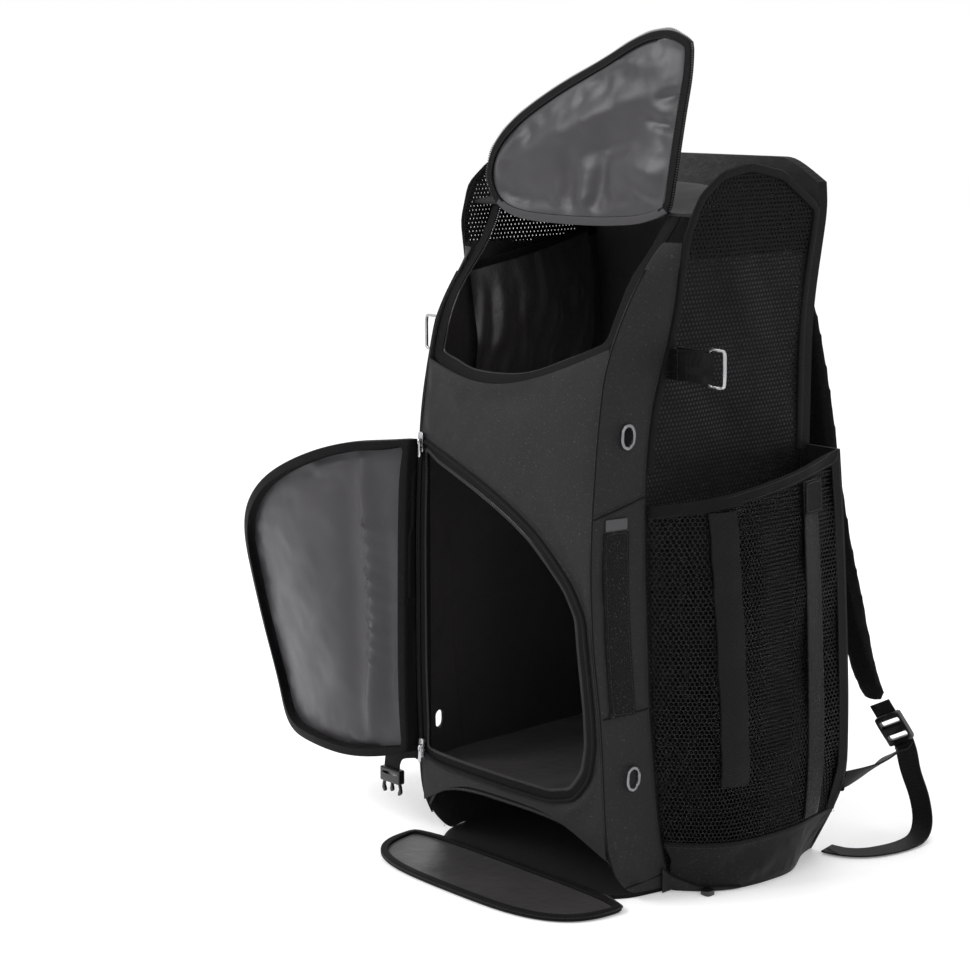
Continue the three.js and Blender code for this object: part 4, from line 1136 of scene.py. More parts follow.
def row_of(template: tuple[Array, list[tuple[int, ...]]], line: Line, name: str,
           finish: Finish) -> bpy.types.Object:
    """Makes one piece of many small copies along a line.

    Args:
        template: points (across, along, out) and faces of one copy.
        line: a copy sits at each of its points.
        name: the piece's name.
        finish: its finish.

    Returns:
        The joined piece.
    """
    shape, faces = template
    across, along, out = line.across(), line.along(), line.normals
    points = (line.points[:, None, :] + shape[None, :, :1] * across[:, None, :]
              + shape[None, :, 1:2] * along[:, None, :] + shape[None, :, 2:] * out[:, None, :])
    joined = [tuple(n + k * len(shape) for n in face)
              for k in range(len(line.points)) for face in faces]
    return place_piece(name, mesh_from(points.reshape(-1, 3), joined), [finish])


def bead(across: float, along: float, out: float) -> tuple[Array, list[tuple[int, ...]]]:
    """Returns a small rounded block: a zip tooth or the hump of a stitch.

    Args:
        across: its width.
        along: its length.
        out: its height.

    Returns:
        Its points and its faces.
    """
    rings = []
    for share, size in ((-1.0, 0.45), (-0.55, 0.95), (0.55, 0.95), (1.0, 0.45)):
        for angle in np.arange(6) * math.pi / 3:
            rings.append((0.5 * size * across * math.cos(angle), 0.5 * share * along,
                          0.5 * size * out * math.sin(angle)))
    faces = [(6 * k + n, 6 * k + (n + 1) % 6, 6 * k + 6 + (n + 1) % 6, 6 * k + 6 + n)
             for k in range(3) for n in range(6)]
    faces += [tuple(range(6)), tuple(range(18, 24))]
    return np.array(rings), faces


STITCH = bead(0.8 * MM, 2.6 * MM, 0.7 * MM)
STITCH_PITCH = 3.4 * MM
STITCH_LIFT = 0.2 * MM
BAR_SIDES = 10
TOOTH = bead(4.2 * MM, 1.5 * MM, 1.5 * MM)
TOOTH_PITCH = 2.5 * MM


def stitches(line: Line, name: str) -> bpy.types.Object:
    """Makes a row of stitches along a line."""
    return row_of(STITCH, line.spaced(STITCH_PITCH).moved(0.0, 0.1 * MM), name, THREAD)


def zip_teeth(line: Line, name: str) -> bpy.types.Object:
    """Makes a row of zip teeth along a line."""
    return row_of(TOOTH, line.spaced(TOOTH_PITCH), name, TEETH)


def seam_groove(line: Line, name: str, width: float = 1.6 * MM) -> bpy.types.Object:
    """Makes the dark rolled seam where two pieces of cloth are joined."""
    return sweep(line.spaced(6 * MM), round_section(width, 0.9 * MM, 8), name, BINDING)


def tacks(line: Line, places: Sequence[float], name: str, width: float) -> bpy.types.Object:
    """Makes the bar tacks that hold a piece of webbing down.

    Args:
        line: the middle of the webbing.
        places: where the tacks are, as shares of the line.
        name: the piece's name.
        width: length of each tack, across the webbing.

    Returns:
        The joined tacks.
    """
    fine = line.spaced(2 * MM)
    picked = [round(share * (len(fine.points) - 1)) for share in places]
    points, normals = fine.points[picked], fine.normals[picked]
    ways = fine.along()[picked]
    rows = []
    steps = np.arange(-0.5, 0.5001, 1.4 * MM / width)
    for point, normal, way in zip(points, normals, ways):
        side = np.cross(normal, way)
        side /= np.linalg.norm(side)
        base = point + np.outer(steps * width, side)
        zigzag = np.where(np.arange(len(steps)) % 2 == 0, 0.7 * MM, -0.7 * MM)
        rows.append(Line(base + np.outer(zigzag, way), np.tile(normal, (len(steps), 1))))
    sewn = Line(np.vstack([row.points for row in rows]), np.vstack([row.normals for row in rows]))
    return row_of(bead(1.0 * MM, 2.4 * MM, 0.9 * MM), sewn, name, THREAD)


def regrid(name: str, axes: tuple[int, int, int], size: tuple[int, int],
           towards: Sequence[float]) -> bmesh.types.BMesh:
    """Rebuilds a flat CAD panel as an even grid between its own edges.

    Args:
        name: the CAD node.
        axes: the axis along its rows, the one up its columns and the one through it.
        size: number of rows and of columns.
        towards: direction that its shown face looks in.

    Returns:
        The mesh, with marked layers.
    """
    solid = node_shape(name, towards)
    outline = rim_lines(solid)[0].points[:, axes[:2]]
    tree = BVHTree.FromBMesh(solid)
    solid.free()
    u, v, w = axes
    way = 1.0 if towards[w] > 0 else -1.0
    heights = np.linspace(outline[:, 1].min(), outline[:, 1].max(), size[0] + 1)
    heights[0] += 0.3 * MM
    heights[-1] -= 0.3 * MM
    layers = [[], []]
    for height in heights:
        before, after = outline, np.roll(outline, -1, axis=0)
        crossing = (before[:, 1] - height) * (after[:, 1] - height) <= 0
        run = after[crossing, 1] - before[crossing, 1]
        share = (height - before[crossing, 1]) / np.where(np.abs(run) < 1e-9, 1e-9, run)
        places = before[crossing, 0] + share * (after[crossing, 0] - before[crossing, 0])
        columns = np.linspace(places.min(), places.max(), size[1] + 1)
        inside = np.clip(columns, places.min() + 0.3 * MM, places.max() - 0.3 * MM)
        for layer, side in ((0, way), (1, -way)):
            depths = np.full(len(columns), np.nan)
            for n, place in enumerate(inside):
                start = Vector((0, 0, 0))
                start[u], start[v], start[w] = place, height, side
                aim = Vector((0, 0, 0))
                aim[w] = -side
                found = tree.ray_cast(start, aim)[0]
                if found is not None:
                    depths[n] = found[w]
            known = ~np.isnan(depths)
            depths = np.interp(columns, columns[known], depths[known])
            for place, depth in zip(columns, depths):
                point = [0.0, 0.0, 0.0]
                point[u], point[v], point[w] = place, height, depth
                layers[layer].append(point)
    return grid_mesh(layers, size)


def grid_mesh(layers: Sequence[Sequence[Sequence[float]]], size: tuple[int, int]) -> bmesh.types.BMesh:
    """Builds a thick sheet from two grids of points: its shown face and the one behind.

    Args:
        layers: points of the shown face and of the one behind, row by row.
        size: number of rows and of columns.

    Returns:
        The mesh, with marked layers.
    """
    rows, columns = size
    bm = bmesh.new()
    verts = [[bm.verts.new(point) for point in layer] for layer in layers]
    wide = columns + 1
    for k in range(rows):
        for n in range(columns):
            a = k * wide + n
            corners = (a, a + 1, a + wide + 1, a + wide)
            for layer in (0, 1):
                order = corners if layer == 0 else corners[::-1]
                bm.faces.new([verts[layer][m] for m in order]).material_index = layer
    edge = ([n for n in range(wide)] + [k * wide + columns for k in range(1, rows + 1)]
            + [rows * wide + n for n in range(columns - 1, -1, -1)]
            + [k * wide for k in range(rows - 1, 0, -1)])
    for here, there in zip(edge, edge[1:] + edge[:1]):
        face = bm.faces.new([verts[0][there], verts[0][here], verts[1][here], verts[1][there]])
        face.material_index = Layer.EDGE.value
    bmesh.ops.recalc_face_normals(bm, faces=bm.faces)
    return bm


def punched(mesh: bpy.types.Mesh, cutters: Sequence[bpy.types.Mesh]) -> bpy.types.Mesh:
    """Returns a mesh with the shapes of the cutters taken out of it.

    Args:
        mesh: the mesh.
        cutters: closed shapes to take out.

    Returns:
        The new mesh.
    """
    holder = bpy.data.objects.new("punched", mesh)
    bpy.context.scene.collection.objects.link(holder)
    tools = []
    for cutter in cutters:
        tool = bpy.data.objects.new("cutter", cutter)
        bpy.context.scene.collection.objects.link(tool)
        tools.append(tool)
        step = holder.modifiers.new("hole", "BOOLEAN")
        step.operation, step.solver, step.object = "DIFFERENCE", "EXACT", tool
    graph = bpy.context.evaluated_depsgraph_get()
    made = bpy.data.meshes.new_from_object(holder.evaluated_get(graph), depsgraph=graph)
    for spare in (holder, *tools):
        bpy.data.objects.remove(spare)
    return made


def oval_prism(centre: Sequence[float], width: float, height: float, depth: float,
               axis: int = 0) -> bpy.types.Mesh:
    """Returns an upright oval prism, to cut a hole through a panel along an axis.

    Args:
        centre: its middle.
        width: its width.
        height: its height.
        depth: its length along the axis.
        axis: the axis, from 0 to 2.

    Returns:
        The prism.
    """
    angles = 2 * math.pi * np.arange(24) / 24
    straight = (height - width) / 2
    side = width / 2 * np.cos(angles)
    up = width / 2 * np.sin(angles) + np.sign(np.sin(angles)) * straight
    others = [n for n in range(3) if n != axis]
    points = np.zeros((48, 3))
    points[:, others[0]], points[:, others[1]] = np.tile(side, 2), np.tile(up, 2)
    points[:24, axis], points[24:, axis] = -depth / 2, depth / 2
    faces = [(n, (n + 1) % 24, 24 + (n + 1) % 24, 24 + n) for n in range(24)]
    faces += [tuple(range(24)), tuple(range(24, 48))]
    return mesh_from(points + np.array(centre), faces)


def hardware(node: str, finish: Finish, levels: int = 2, crease: float = 0.55) -> bpy.types.Object:
    """Makes a moulded or plated part over its CAD node, with its edges eased."""
    return place_piece(f"{node}_part", subdivided(node_shape(node), levels, crease), [finish], [node],
                       sharp=60.0)


def ribbon(node: str, finish: Finish, towards: Sequence[float]) -> bpy.types.Object:
    """Makes a strip of webbing or tape over its CAD node, with its weave along it.

    Args:
        node: the CAD node.
        finish: its finish.
        towards: direction that its shown face looks in.

    Returns:
        The strip.
    """
    shape = node_shape(node, towards)
    flat = along_line(strip_middle(rim_lines(shape)[0]))
    return place_piece(f"{node}_strip", subdivided(shape, 2), [finish] * 3, [node], flat)


def hem_stitches(node: str, towards: Sequence[float], gap: float, name: str) -> None:
    """Sews a row of stitches inside a panel's edge.

    Args:
        node: the CAD node.
        towards: direction that its shown face looks in.
        gap: distance from the edge.
        name: the piece's name, without its number.
    """
    shape = node_shape(node, towards)
    line = rim_lines(shape)[0]
    shape.free()
    fine = line.spaced(4 * MM)
    inner = fine.moved(gap, STITCH_LIFT)
    if inner.lengths()[-1] > fine.lengths()[-1]:
        inner = fine.moved(-gap, STITCH_LIFT)
    stitches(inner, f"{name}_1")


def tapered_bar(points: Array, widths: Sequence[float], depth: float, power: float) -> bpy.types.Mesh:
    """Builds a rounded upright bar whose width changes along its length.

    Args:
        points: the middle of each ring.
        widths: width of each ring.
        depth: depth of the bar.
        power: how round its section is.

    Returns:
        The mesh.
    """
    oval = round_section(1, 1, BAR_SIDES, power)
    rings = [point + np.array([[width * x, depth * y, 0] for x, y in oval])
             for point, width in zip(points, widths)]
    last = BAR_SIDES * (len(points) - 1)
    faces = [(BAR_SIDES * k + n, BAR_SIDES * k + (n + 1) % BAR_SIDES,
              BAR_SIDES * (k + 1) + (n + 1) % BAR_SIDES, BAR_SIDES * (k + 1) + n)
             for k in range(len(points) - 1) for n in range(BAR_SIDES)]
    faces += [tuple(range(BAR_SIDES)), tuple(range(last, last + BAR_SIDES))]
    return mesh_from(np.vstack(rings), faces)


# The bag


@dataclass
class Body:
    """The standing body: front, gussets, mesh sides, back, yoke, base and shelf."""

    gusset_grid: tuple[int, int] = (26, 5)
    wall_wave: float = 1.4 * MM
    lined_height: float = 0.655
    bound_height: float = 0.44
    eyelet_ring: float = 3.2 * MM
    strip_stitch: float = 2.5 * MM

    def build(self) -> None:
        """Builds every piece of the body."""
        self.front_panel()
        for side in Side:
            self.gusset(side)
            self.side_wall(side)
            self.fittings(side)
        self.back()
        self.floor_and_yoke()
        self.front_seams()

    def front_panel(self) -> None:
        """Makes the front panel round the door opening, with the pull folds under its lip."""
        folds = (Fold((-128, 500), (-30, 468), 14, -1.8), Fold((-125, 470), (-70, 430), 10, 1.5),
                 Fold((20, 500), (110, 455), 16, 1.4), Fold((60, 430), (118, 330), 10, -1.2),
                 Fold((-60, 505), (40, 512), 12, -1.6), Fold((90, 90), (132, 130), 9, 1.4))
        relief = Relief(plane(0, 2), (0, -1, 0), folds, wave=self.wall_wave, wave_size=0.16,
                        pucker=0.5 * MM, seed=4)
        piece = panel("front_panel", (0, -1, 0), (SHELL, INNER_LINING, SHELL), 3, relief)
        declare_sheet(piece, plane(0, 2), ["gusset_right_cloth", "gusset_left_cloth"])

    def gusset(self, side: Side) -> None:
        """Makes a gusset with its eyelet holes, cross seams and edge folds.

        Args:
            side: the side.
        """
        sign, name = side.value, side.node("gusset")
        folds = (Fold((-172, 404), (-108, 422), 3, -0.9), Fold((-161, 198), (-98, 202), 3, -0.9),
                 Fold((-150, 60), (-100, 36), 9, 1.6), Fold((-155, 38), (-112, 22), 8, -1.8),
                 Fold((-160, 120), (-120, 70), 14, 1.0), Fold((-150, 560), (-128, 470), 8, 1.2),
                 Fold((-170, 340), (-165, 230), 7, 0.8))
        relief = Relief(plane(1, 2), (sign, 0, 0), folds, wave=0.8 * MM, wave_size=0.13,
                        pucker=0.4 * MM, seam=0.009, seed=7 + sign)
        shape = regrid(name, (1, 2, 0), self.gusset_grid, (sign, 0, 0))
        mesh = subdivided(shape, 2)
        relief.apply(mesh)
        cutters = []
        for end in ("upper", "lower"):
            low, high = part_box(side.node(f"eyelet_{end}"))
            size = high - low
            ring = 2 * self.eyelet_ring
            cutters.append(oval_prism((low + high) / 2, size.y - ring, size.z - ring, 0.03))
        piece = place_piece(f"{name}_cloth", punched(mesh, cutters), (SHELL, INNER_LINING, SHELL),
                            [name], plane(1, 2))
        declare_sheet(piece, plane(1, 2), ["front_panel_cloth"])
        self.cross_seams(side)

    def cross_seams(self, side: Side) -> None:
        """Sews the two seams across a gusset and the one above its base band.

        Args:
            side: the side.
        """
        sign = side.value
        surface = BVHTree.FromBMesh(regrid(side.node("gusset"), (1, 2, 0), (26, 5), (sign, 0, 0)))
        runs = {"upper": ((-171, 405), (-109, 422)), "lower": ((-160, 198.5), (-99, 202)),
                "base": ((-120, 12), (-72, 20))}
        for name, ((y0, z0), (y1, z1)) in runs.items():
            points = []
            for share in np.linspace(0, 1, 14):
                aim = Vector((sign, (y0 + share * (y1 - y0)) * MM, (z0 + share * (z1 - z0)) * MM))
                found = surface.ray_cast(aim, Vector((-sign, 0, 0)))[0]
                if found is not None:
                    points.append(found)
            if len(points) < 3:
                continue
            line = Line(np.array(points), np.tile([float(sign), 0, 0], (len(points), 1)))
            seam_groove(line.moved(0, 0.2 * MM), side.node(f"gusset_seam_{name}"))
            stitches(line.moved(3.0 * MM, 0.1 * MM), side.node(f"gusset_stitch_{name}"))

    def side_wall(self, side: Side) -> None:
        """Makes a mesh side wall and the binding round it.

        Args:
            side: the side.
        """
        sign, name = side.value, side.node("side_wall")
        relief = Relief(plane(1, 2), (sign, 0, 0),
                        (Fold((-20, 690), (60, 560), 22, 2.0), Fold((-70, 560), (20, 480), 18, -2.0)),
                        wave=1.2 * MM, wave_size=0.15, seed=11)
        piece = panel(name, (sign, 0, 0), (AIR_MESH, BACKING_MESH, BINDING), 3, relief)
        declare_sheet(piece, plane(1, 2), ["back_panel_cushion"])
        piece.data.materials.append(INNER_LINING.material())
        for face in piece.data.polygons:
            if face.material_index == Layer.BEHIND.value and face.center.z < self.lined_height:
                face.material_index = 3
        shape = node_shape(name, (sign, 0, 0))
        line = rim_lines(shape)[0].spaced(8 * MM)
        shape.free()
        run = line.where(line.points[:, 2] > self.bound_height)
        inner = run.moved(4 * MM, 0.6 * MM)
        if np.ptp(inner.points[:, 1]) > np.ptp(run.points[:, 1]):
            inner = run.moved(-4 * MM, 0.6 * MM)
        sweep(inner, round_section(9 * MM, 3.6 * MM, 10, 0.7), f"{name}_binding", BINDING)

    def fittings(self, side: Side) -> None:
        """Makes the eyelets and the hook-and-loop strip of a gusset.

        Args:
            side: the side.
        """
        sign = side.value
        for end in ("upper", "lower"):
            hardware(side.node(f"eyelet_{end}"), DARK_METAL, 2, 0.35)
        ribbon(side.node("grip_strip"), HOOK_TAPE, (sign, 0, 0))
        hem_stitches(side.node("grip_strip"), (sign, 0, 0), self.strip_stitch, side.node("grip_stitch"))

    def back(self) -> None:
        """Makes the padded back with its channels, seen from behind."""
        shape = regrid("back_panel", (0, 2, 1), (30, 14), (0, 1, 0))
        mesh = subdivided(shape, 2)
        folds = [Fold((0, 110), (0, 690), 13, -5.0)]
        folds += [Fold((side * 20, z), (side * 130, z + 8), 6, -3.5)
                  for side in (-1, 1) for z in (250, 430, 600)]
        Relief(plane(0, 2), (0, 1, 0), folds, wave=0.8 * MM, wave_size=0.2, seam=0.02,
               seed=15).apply(mesh)
        piece = place_piece("back_panel_cushion", mesh, (SPACER_MESH, INNER_LINING, BINDING),
                            ["back_panel"], plane(0, 2))

    def floor_and_yoke(self) -> None:
        """Makes the cloth top, the base, the shelf over the shoe space and the small tag."""
        relief = Relief(plane(0, 1), (0, 0, 1), (Fold((-90, 0), (80, 60), 16, 1.6),),
                        wave=1.5 * MM, wave_size=0.14, seed=19)
        yoke = panel("top_yoke", (0, 0, 1), (SHELL, INNER_LINING, SHELL), 2, relief)
        declare_sheet(yoke, plane(0, 1), ["back_panel_cushion"])
        for node, finish, held in (("base_panel", BOOT, "laid"), ("shoe_shelf", INNER_LINING, "stretched")):
            shape = regrid(node, (0, 1, 2), (14, 14), (0, 0, 1))
            mesh = subdivided(shape, 1)
            if node == "shoe_shelf":
                Relief(plane(0, 1), (0, 0, 1), (), wave=0.8 * MM, wave_size=0.1, seed=21).apply(mesh)
            piece = place_piece(f"{node}_cloth", mesh, (finish, SHELL_BACKING, BINDING), [node],
                                plane(0, 1))
            declare_sheet(piece, plane(0, 1), ["back_panel_cushion"])
        tag = panel("tag_right", (1, 0, 0), (TAG_CLOTH, TAG_CLOTH, TAG_CLOTH), 2,
                    Relief(plane(1, 2), (1, 0, 0), (), wave=0.3 * MM, wave_size=0.02, seam=0.002),
                    crease=0.8)
        hardware("sleeve_foot_right", PLASTIC)

    def front_seams(self) -> None:
        """Makes the seams between the front panel and the gussets, and their top stitching."""
        for side in Side:
            sign = side.value
            shape = regrid(side.node("gusset"), (1, 2, 0), self.gusset_grid, (sign, 0, 0))
            rim = rim_lines(shape)[0]
            shape.free()
            rows = rim.points[np.argsort(rim.points[:, 2])]
            levels = np.unique(np.round(rows[:, 2], 5))[1:-1]
            for name, pick, aside in (("front", np.argmin, 1), ("rear", np.argmax, -1)):
                kept = []
                for level in levels:
                    here = rows[np.abs(rows[:, 2] - level) < 1e-4]
                    kept.append(here[pick(here[:, 1])])
                points = np.array(kept)
                line = Line(points, np.tile([float(sign), 0, 0], (len(points), 1))).spaced(7 * MM)
                inner = Line(line.points + [0, aside * 3.5 * MM, 0], line.normals)
                groove = Line(line.points + [0, aside * 0.4 * MM, 0], line.normals)
                seam_groove(groove, side.node(f"{name}_seam"), 2.2 * MM)
                if name == "rear":
                    stitches(inner.moved(0, 0.7 * MM), side.node("gusset_top_stitch"))


@dataclass
class Mouth:
    """The open top: zip tape round the rim, the raised flap and what shows inside."""

    binding_round: float = 0.45
    flap_foot: float = 0.702
    free_height: float = 0.7
    pocket_drop: float = 0.17
    pocket_width: float = 0.18
    pocket_columns: int = 41
    pocket_rows: int = 26

    def build(self) -> None:
        """Builds every piece of the mouth."""
        self.rim()
        self.flap()
        self.inner_pocket()

    def rim(self) -> None:
        """Makes the zip tape, its teeth and the rolled edge along the lip."""
        shape = node_shape("rim_tape", (0, 1, 0.5))
        left, right = strip_sides(rim_lines(shape)[0])
        flat = along_line(left)
        place_piece("rim_tape_strip", subdivided(shape, 2), [TAPE] * 3, ["rim_tape"], flat)
        centre = np.array([0.0, -0.07, 0.62])
        gaps = [np.linalg.norm(line.points - centre, axis=1).mean() for line in (left, right)]
        inner, outer = (left, right) if gaps[0] < gaps[1] else (right, left)
        zip_teeth(inner, "rim_teeth")
        sweep(outer.spaced(8 * MM).moved(0, 0.5 * MM), round_section(5 * MM, 3.4 * MM), "rim_roll",
              BINDING)

    def flap(self) -> None:
        """Makes the raised flap: satin side with its folds, bound and zipped edge."""
        folds = (Fold((-128, 735), (0, 785), 20, 3.5), Fold((-20, 775), (85, 822), 16, 3.2),
                 Fold((0, 762), (110, 770), 18, -2.4), Fold((-18, 752), (-12, 698), 12, -3.2),
                 Fold((32, 755), (28, 702), 11, -2.8), Fold((8, 735), (8, 700), 10, 2.0),
                 Fold((95, 790), (134, 783), 6, -3.2), Fold((105, 812), (134, 818), 6, -2.6),
                 Fold((70, 745), (120, 735), 13, 2.2), Fold((-110, 712), (-40, 705), 12, -1.8),
                 Fold((40, 850), (110, 845), 14, 1.8), Fold((-100, 745), (-60, 780), 9, -1.4))
        relief = Relief(plane(0, 2), (0, -1, 0), folds, wave=2.2 * MM, wave_size=0.12,
                        pucker=0.9 * MM, seam=0.01, seed=23)
        piece = panel("top_flap", (0, -1, 0), (LINING, SHELL, LINING), 3, relief)
        roll = bound_edge("flap_binding", (0, -1, 0), self.binding_round)
        roll.data.materials.append(LINING.material())
        for face in roll.data.polygons:
            if face.center.z < self.flap_foot:
                face.material_index = 3
        shape = node_shape("flap_binding", (0, -1, 0))
        outer = rim_lines(shape)[0].spaced(6 * MM)
        shape.free()
        free_edge = outer.where(outer.points[:, 2] > self.free_height)
        zip_teeth(free_edge.moved(0, -2.0 * MM), "flap_teeth")
        stitches(free_edge.inset(8.2 * MM, 0.6 * MM), "flap_stitch")

    def inner_pocket(self) -> None:
        """Makes the gathered pocket on the left wall inside, under its elastic hem."""
        _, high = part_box("side_wall_left")
        count = self.pocket_columns
        top = np.linspace(0, 1, count)
        hem_points = np.stack([np.full(count, high.x + 0.006) + 0.012 * np.sin(math.pi * top),
                               -0.080 + self.pocket_width * top, 0.630 + 0.034 * top], axis=1)
        normals = np.tile([1.0, 0, 0], (count, 1))
        hem = Line(hem_points, normals)
        sweep(hem, round_section(9 * MM, 3 * MM, 10, 0.7), "pocket_hem", BINDING)
        layers = []
        for lift in (0.0, -0.0012):
            grid = []
            for k in range(self.pocket_rows + 1):
                share = k / self.pocket_rows
                level = 0.35 * self.pocket_drop * share
                places = np.stack([self.pocket_width * top, np.full(count, level)], axis=1)
                gather = soft_waves(places, 0.03, 29)
                fine = soft_waves(places, 0.012, 30) * (1 - share)
                depth = (0.0022 * gather + 0.0007 * fine) * (0.35 + math.sin(math.pi * share))
                drop = hem_points + np.array([0.0, 0.0, -0.004 - self.pocket_drop * share])
                drop[:, 0] += depth + lift + 0.014 * math.sin(math.pi * share) - 0.004 * share
                grid += [tuple(point) for point in drop]
            layers.append(grid)
        mesh = subdivided(grid_mesh(layers, (self.pocket_rows, count - 1)), 1)
        piece = place_piece("pocket_cloth", mesh, [INNER_LINING] * 3, (), plane(1, 2))
        declare_sheet(piece, plane(1, 2), ["side_wall_left_cloth"])


def bound_edge(node: str, towards: Sequence[float], crease: float) -> bpy.types.Object:
    """Makes the rolled binding over a panel's edge from its CAD node.

    Args:
        node: the binding's CAD node.
        towards: direction that its shown face looks in.
        crease: how sharp its edges stay.

    Returns:
        The binding.
    """
    shape = node_shape(node, towards)
    middle = rim_lines(shape)[0].spaced(6 * MM)
    mesh = subdivided(shape, 2, crease)
    return place_piece(f"{node}_roll", mesh, [BINDING] * 3, [node], along_line(middle))


def outer_edge(node: str, inner: Line) -> Line:
    """Finds the free edge of a binding that lies round a line.

    Args:
        node: the binding's CAD node.
        inner: the closed line that it lies round.

    Returns:
        The line along its free edge, with a point for each of the inner line's.
    """
    places = mesh_points(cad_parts[node].data)
    across, along = inner.across(), inner.along()
    if inner.moved(2 * MM, 0).lengths()[-1] < inner.lengths()[-1]:
        across = -across
    reach = []
    for point, side, way in zip(inner.points, across, along):
        gaps = places - point
        near = (np.abs(gaps @ way) < 9 * MM) & (np.linalg.norm(gaps, axis=1) < 40 * MM)
        reach.append(float(np.max(gaps[near] @ side)) if near.any() else 0.0)
    soft = np.array(reach)
    for _ in range(12):
        soft = (np.roll(soft, 1) + soft + np.roll(soft, -1)) / 3
    return Line(inner.points + soft[:, None] * across, inner.normals, True)


@dataclass
class FrontDoor:
    """The round-cornered front door, swung open to the left, with its zips and buckle."""

    hinge: tuple[float, float] = (-0.148, -0.150)
    hinged_x: float = -0.152
    tape_place: tuple[float, float] = (-0.1405, -0.1500)
    tape_width: float = 17 * MM
    prong_width: tuple[float, ...] = (3.4, 3.2, 3.0, 3.0, 3.4, 4.6, 5.8, 5.0, 2.4)
    pull_width: tuple[float, ...] = (0.5, 0.75, 0.6, 0.6, 0.7, 0.85, 0.95, 0.9, 0.5)
    pull_length: float = 17 * MM

    def flat(self, points: Array) -> Array:
        """Returns places on the door as (distance from the hinge, height)."""
        out = np.hypot(points[:, 0] - self.hinge[0], points[:, 1] - self.hinge[1])
        return np.stack([out, points[:, 2]], axis=1)

    def build(self) -> None:
        """Builds every piece of the door."""
        self.door()
        self.edge()
        self.opening()
        self.sliders()
        self.buckle()

    def door(self) -> None:
        """Makes the door's satin lining, with the crumpled fold beside its hinge."""
        folds = [Fold((58, 420), (50, 350), 9, 4.0), Fold((50, 350), (46, 230), 8, 3.4),
                 Fold((46, 230), (56, 110), 9, 4.0), Fold((78, 400), (74, 130), 12, -2.2),
                 Fold((34, 320), (32, 130), 9, -2.6), Fold((170, 330), (80, 390), 18, 2.2),
                 Fold((200, 250), (90, 330), 20, 2.6), Fold((180, 180), (90, 260), 22, 1.8),
                 Fold((150, 120), (90, 180), 20, 1.4), Fold((150, 410), (110, 400), 9, -1.6),
                 Fold((80, 418), (118, 405), 8, 2.0), Fold((66, 100), (90, 108), 8, 1.8)]
        for step in range(9):
            height = 345 - 19 * step
            folds.append(Fold((38, height), (58, height + 14), 3.2, 2.6 - 0.5 * (step % 3)))
        relief = Relief(self.flat, (-0.12, -0.99, 0), folds, wave=1.2 * MM, wave_size=0.13,
                        pucker=0.8 * MM, seam=0.009, seed=31)
        piece = panel("front_door", (0, -1, 0), (LINING, SHELL, LINING), 3, relief)

    def edge(self) -> None:
        """Makes the door's zip tape and binding, its teeth and the seam inside it."""
        bound_edge("door_binding", (0, -1, 0), 0.75)
        shape = node_shape("front_door", (0, -1, 0))
        inner = rim_lines(shape)[0]
        shape.free()
        away = outer_edge("door_binding", inner.spaced(6 * MM))
        free_edge = away.where(away.points[:, 0] < self.hinged_x)
        zip_teeth(free_edge.inset(3 * MM, -3 * MM), "door_teeth")
        sweep(inner.spaced(8 * MM).moved(0, 0.2 * MM), round_section(3 * MM, 2.4 * MM), "door_piping",
              BINDING)

    def opening(self) -> None:
        """Makes the zip tape round the opening, its teeth and the piping on the front panel."""
        shape = node_shape("door_tape", (0, -1, 0))
        rims = rim_lines(shape)
        outer, inner = rims[0], rims[-1]
        place_piece("door_tape_strip", subdivided(shape, 2), [TAPE] * 3, ["door_tape"], plane(0, 2))
        zip_teeth(inner, "opening_teeth")
        low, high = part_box("front_door")
        heights = np.linspace(low.z, high.z, 24)
        hinge = np.stack([np.full(24, place) for place in self.tape_place] + [heights], axis=1)
        section = round_section(self.tape_width, 3.4 * MM, 12, 0.8)
        sweep(Line(hinge, np.tile([0.66, -0.75, 0.0], (24, 1))), section, "hinge_tape", TAPE)
        sweep(outer.spaced(8 * MM).moved(0, 1.2 * MM), round_section(4.5 * MM, 4 * MM),
              "opening_piping", BINDING)
        fine = outer.spaced(5 * MM)
        wider = max((fine.moved(side * 5.5 * MM, 0.2 * MM) for side in (1, -1)),
                    key=lambda line: line.lengths()[-1])
        stitches(wider, "opening_stitch")

    def sliders(self) -> None:
        """Makes the two zip sliders, each with a bridge and a hanging pull."""
        for end in ("upper", "lower"):
            node = f"zip_slider_{end}"
            hardware(node, METAL, 2, 0.6)
            low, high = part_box(node)
            middle = (low + high) / 2
            front = low.y - 0.6 * MM
            arch = np.array([[middle.x, front - 2.6 * MM * math.sin(math.pi * n / 8),
                              middle.z + 4 * MM * math.cos(math.pi * n / 8)] for n in range(9)])
            sweep(Line(arch, np.tile([1.0, 0, 0], (9, 1))), round_section(1.4 * MM, 1.8 * MM, 8),
                  f"{node}_bridge", METAL)
            run = np.array([[middle.x, front - 1.6 * MM, middle.z - self.pull_length * n / 8 + 1 * MM]
                            for n in range(9)])
            widths = [share * 5 * MM for share in self.pull_width]
            place_piece(f"{node}_pull", tapered_bar(run, widths, 0.9 * MM, 0.8), [METAL])

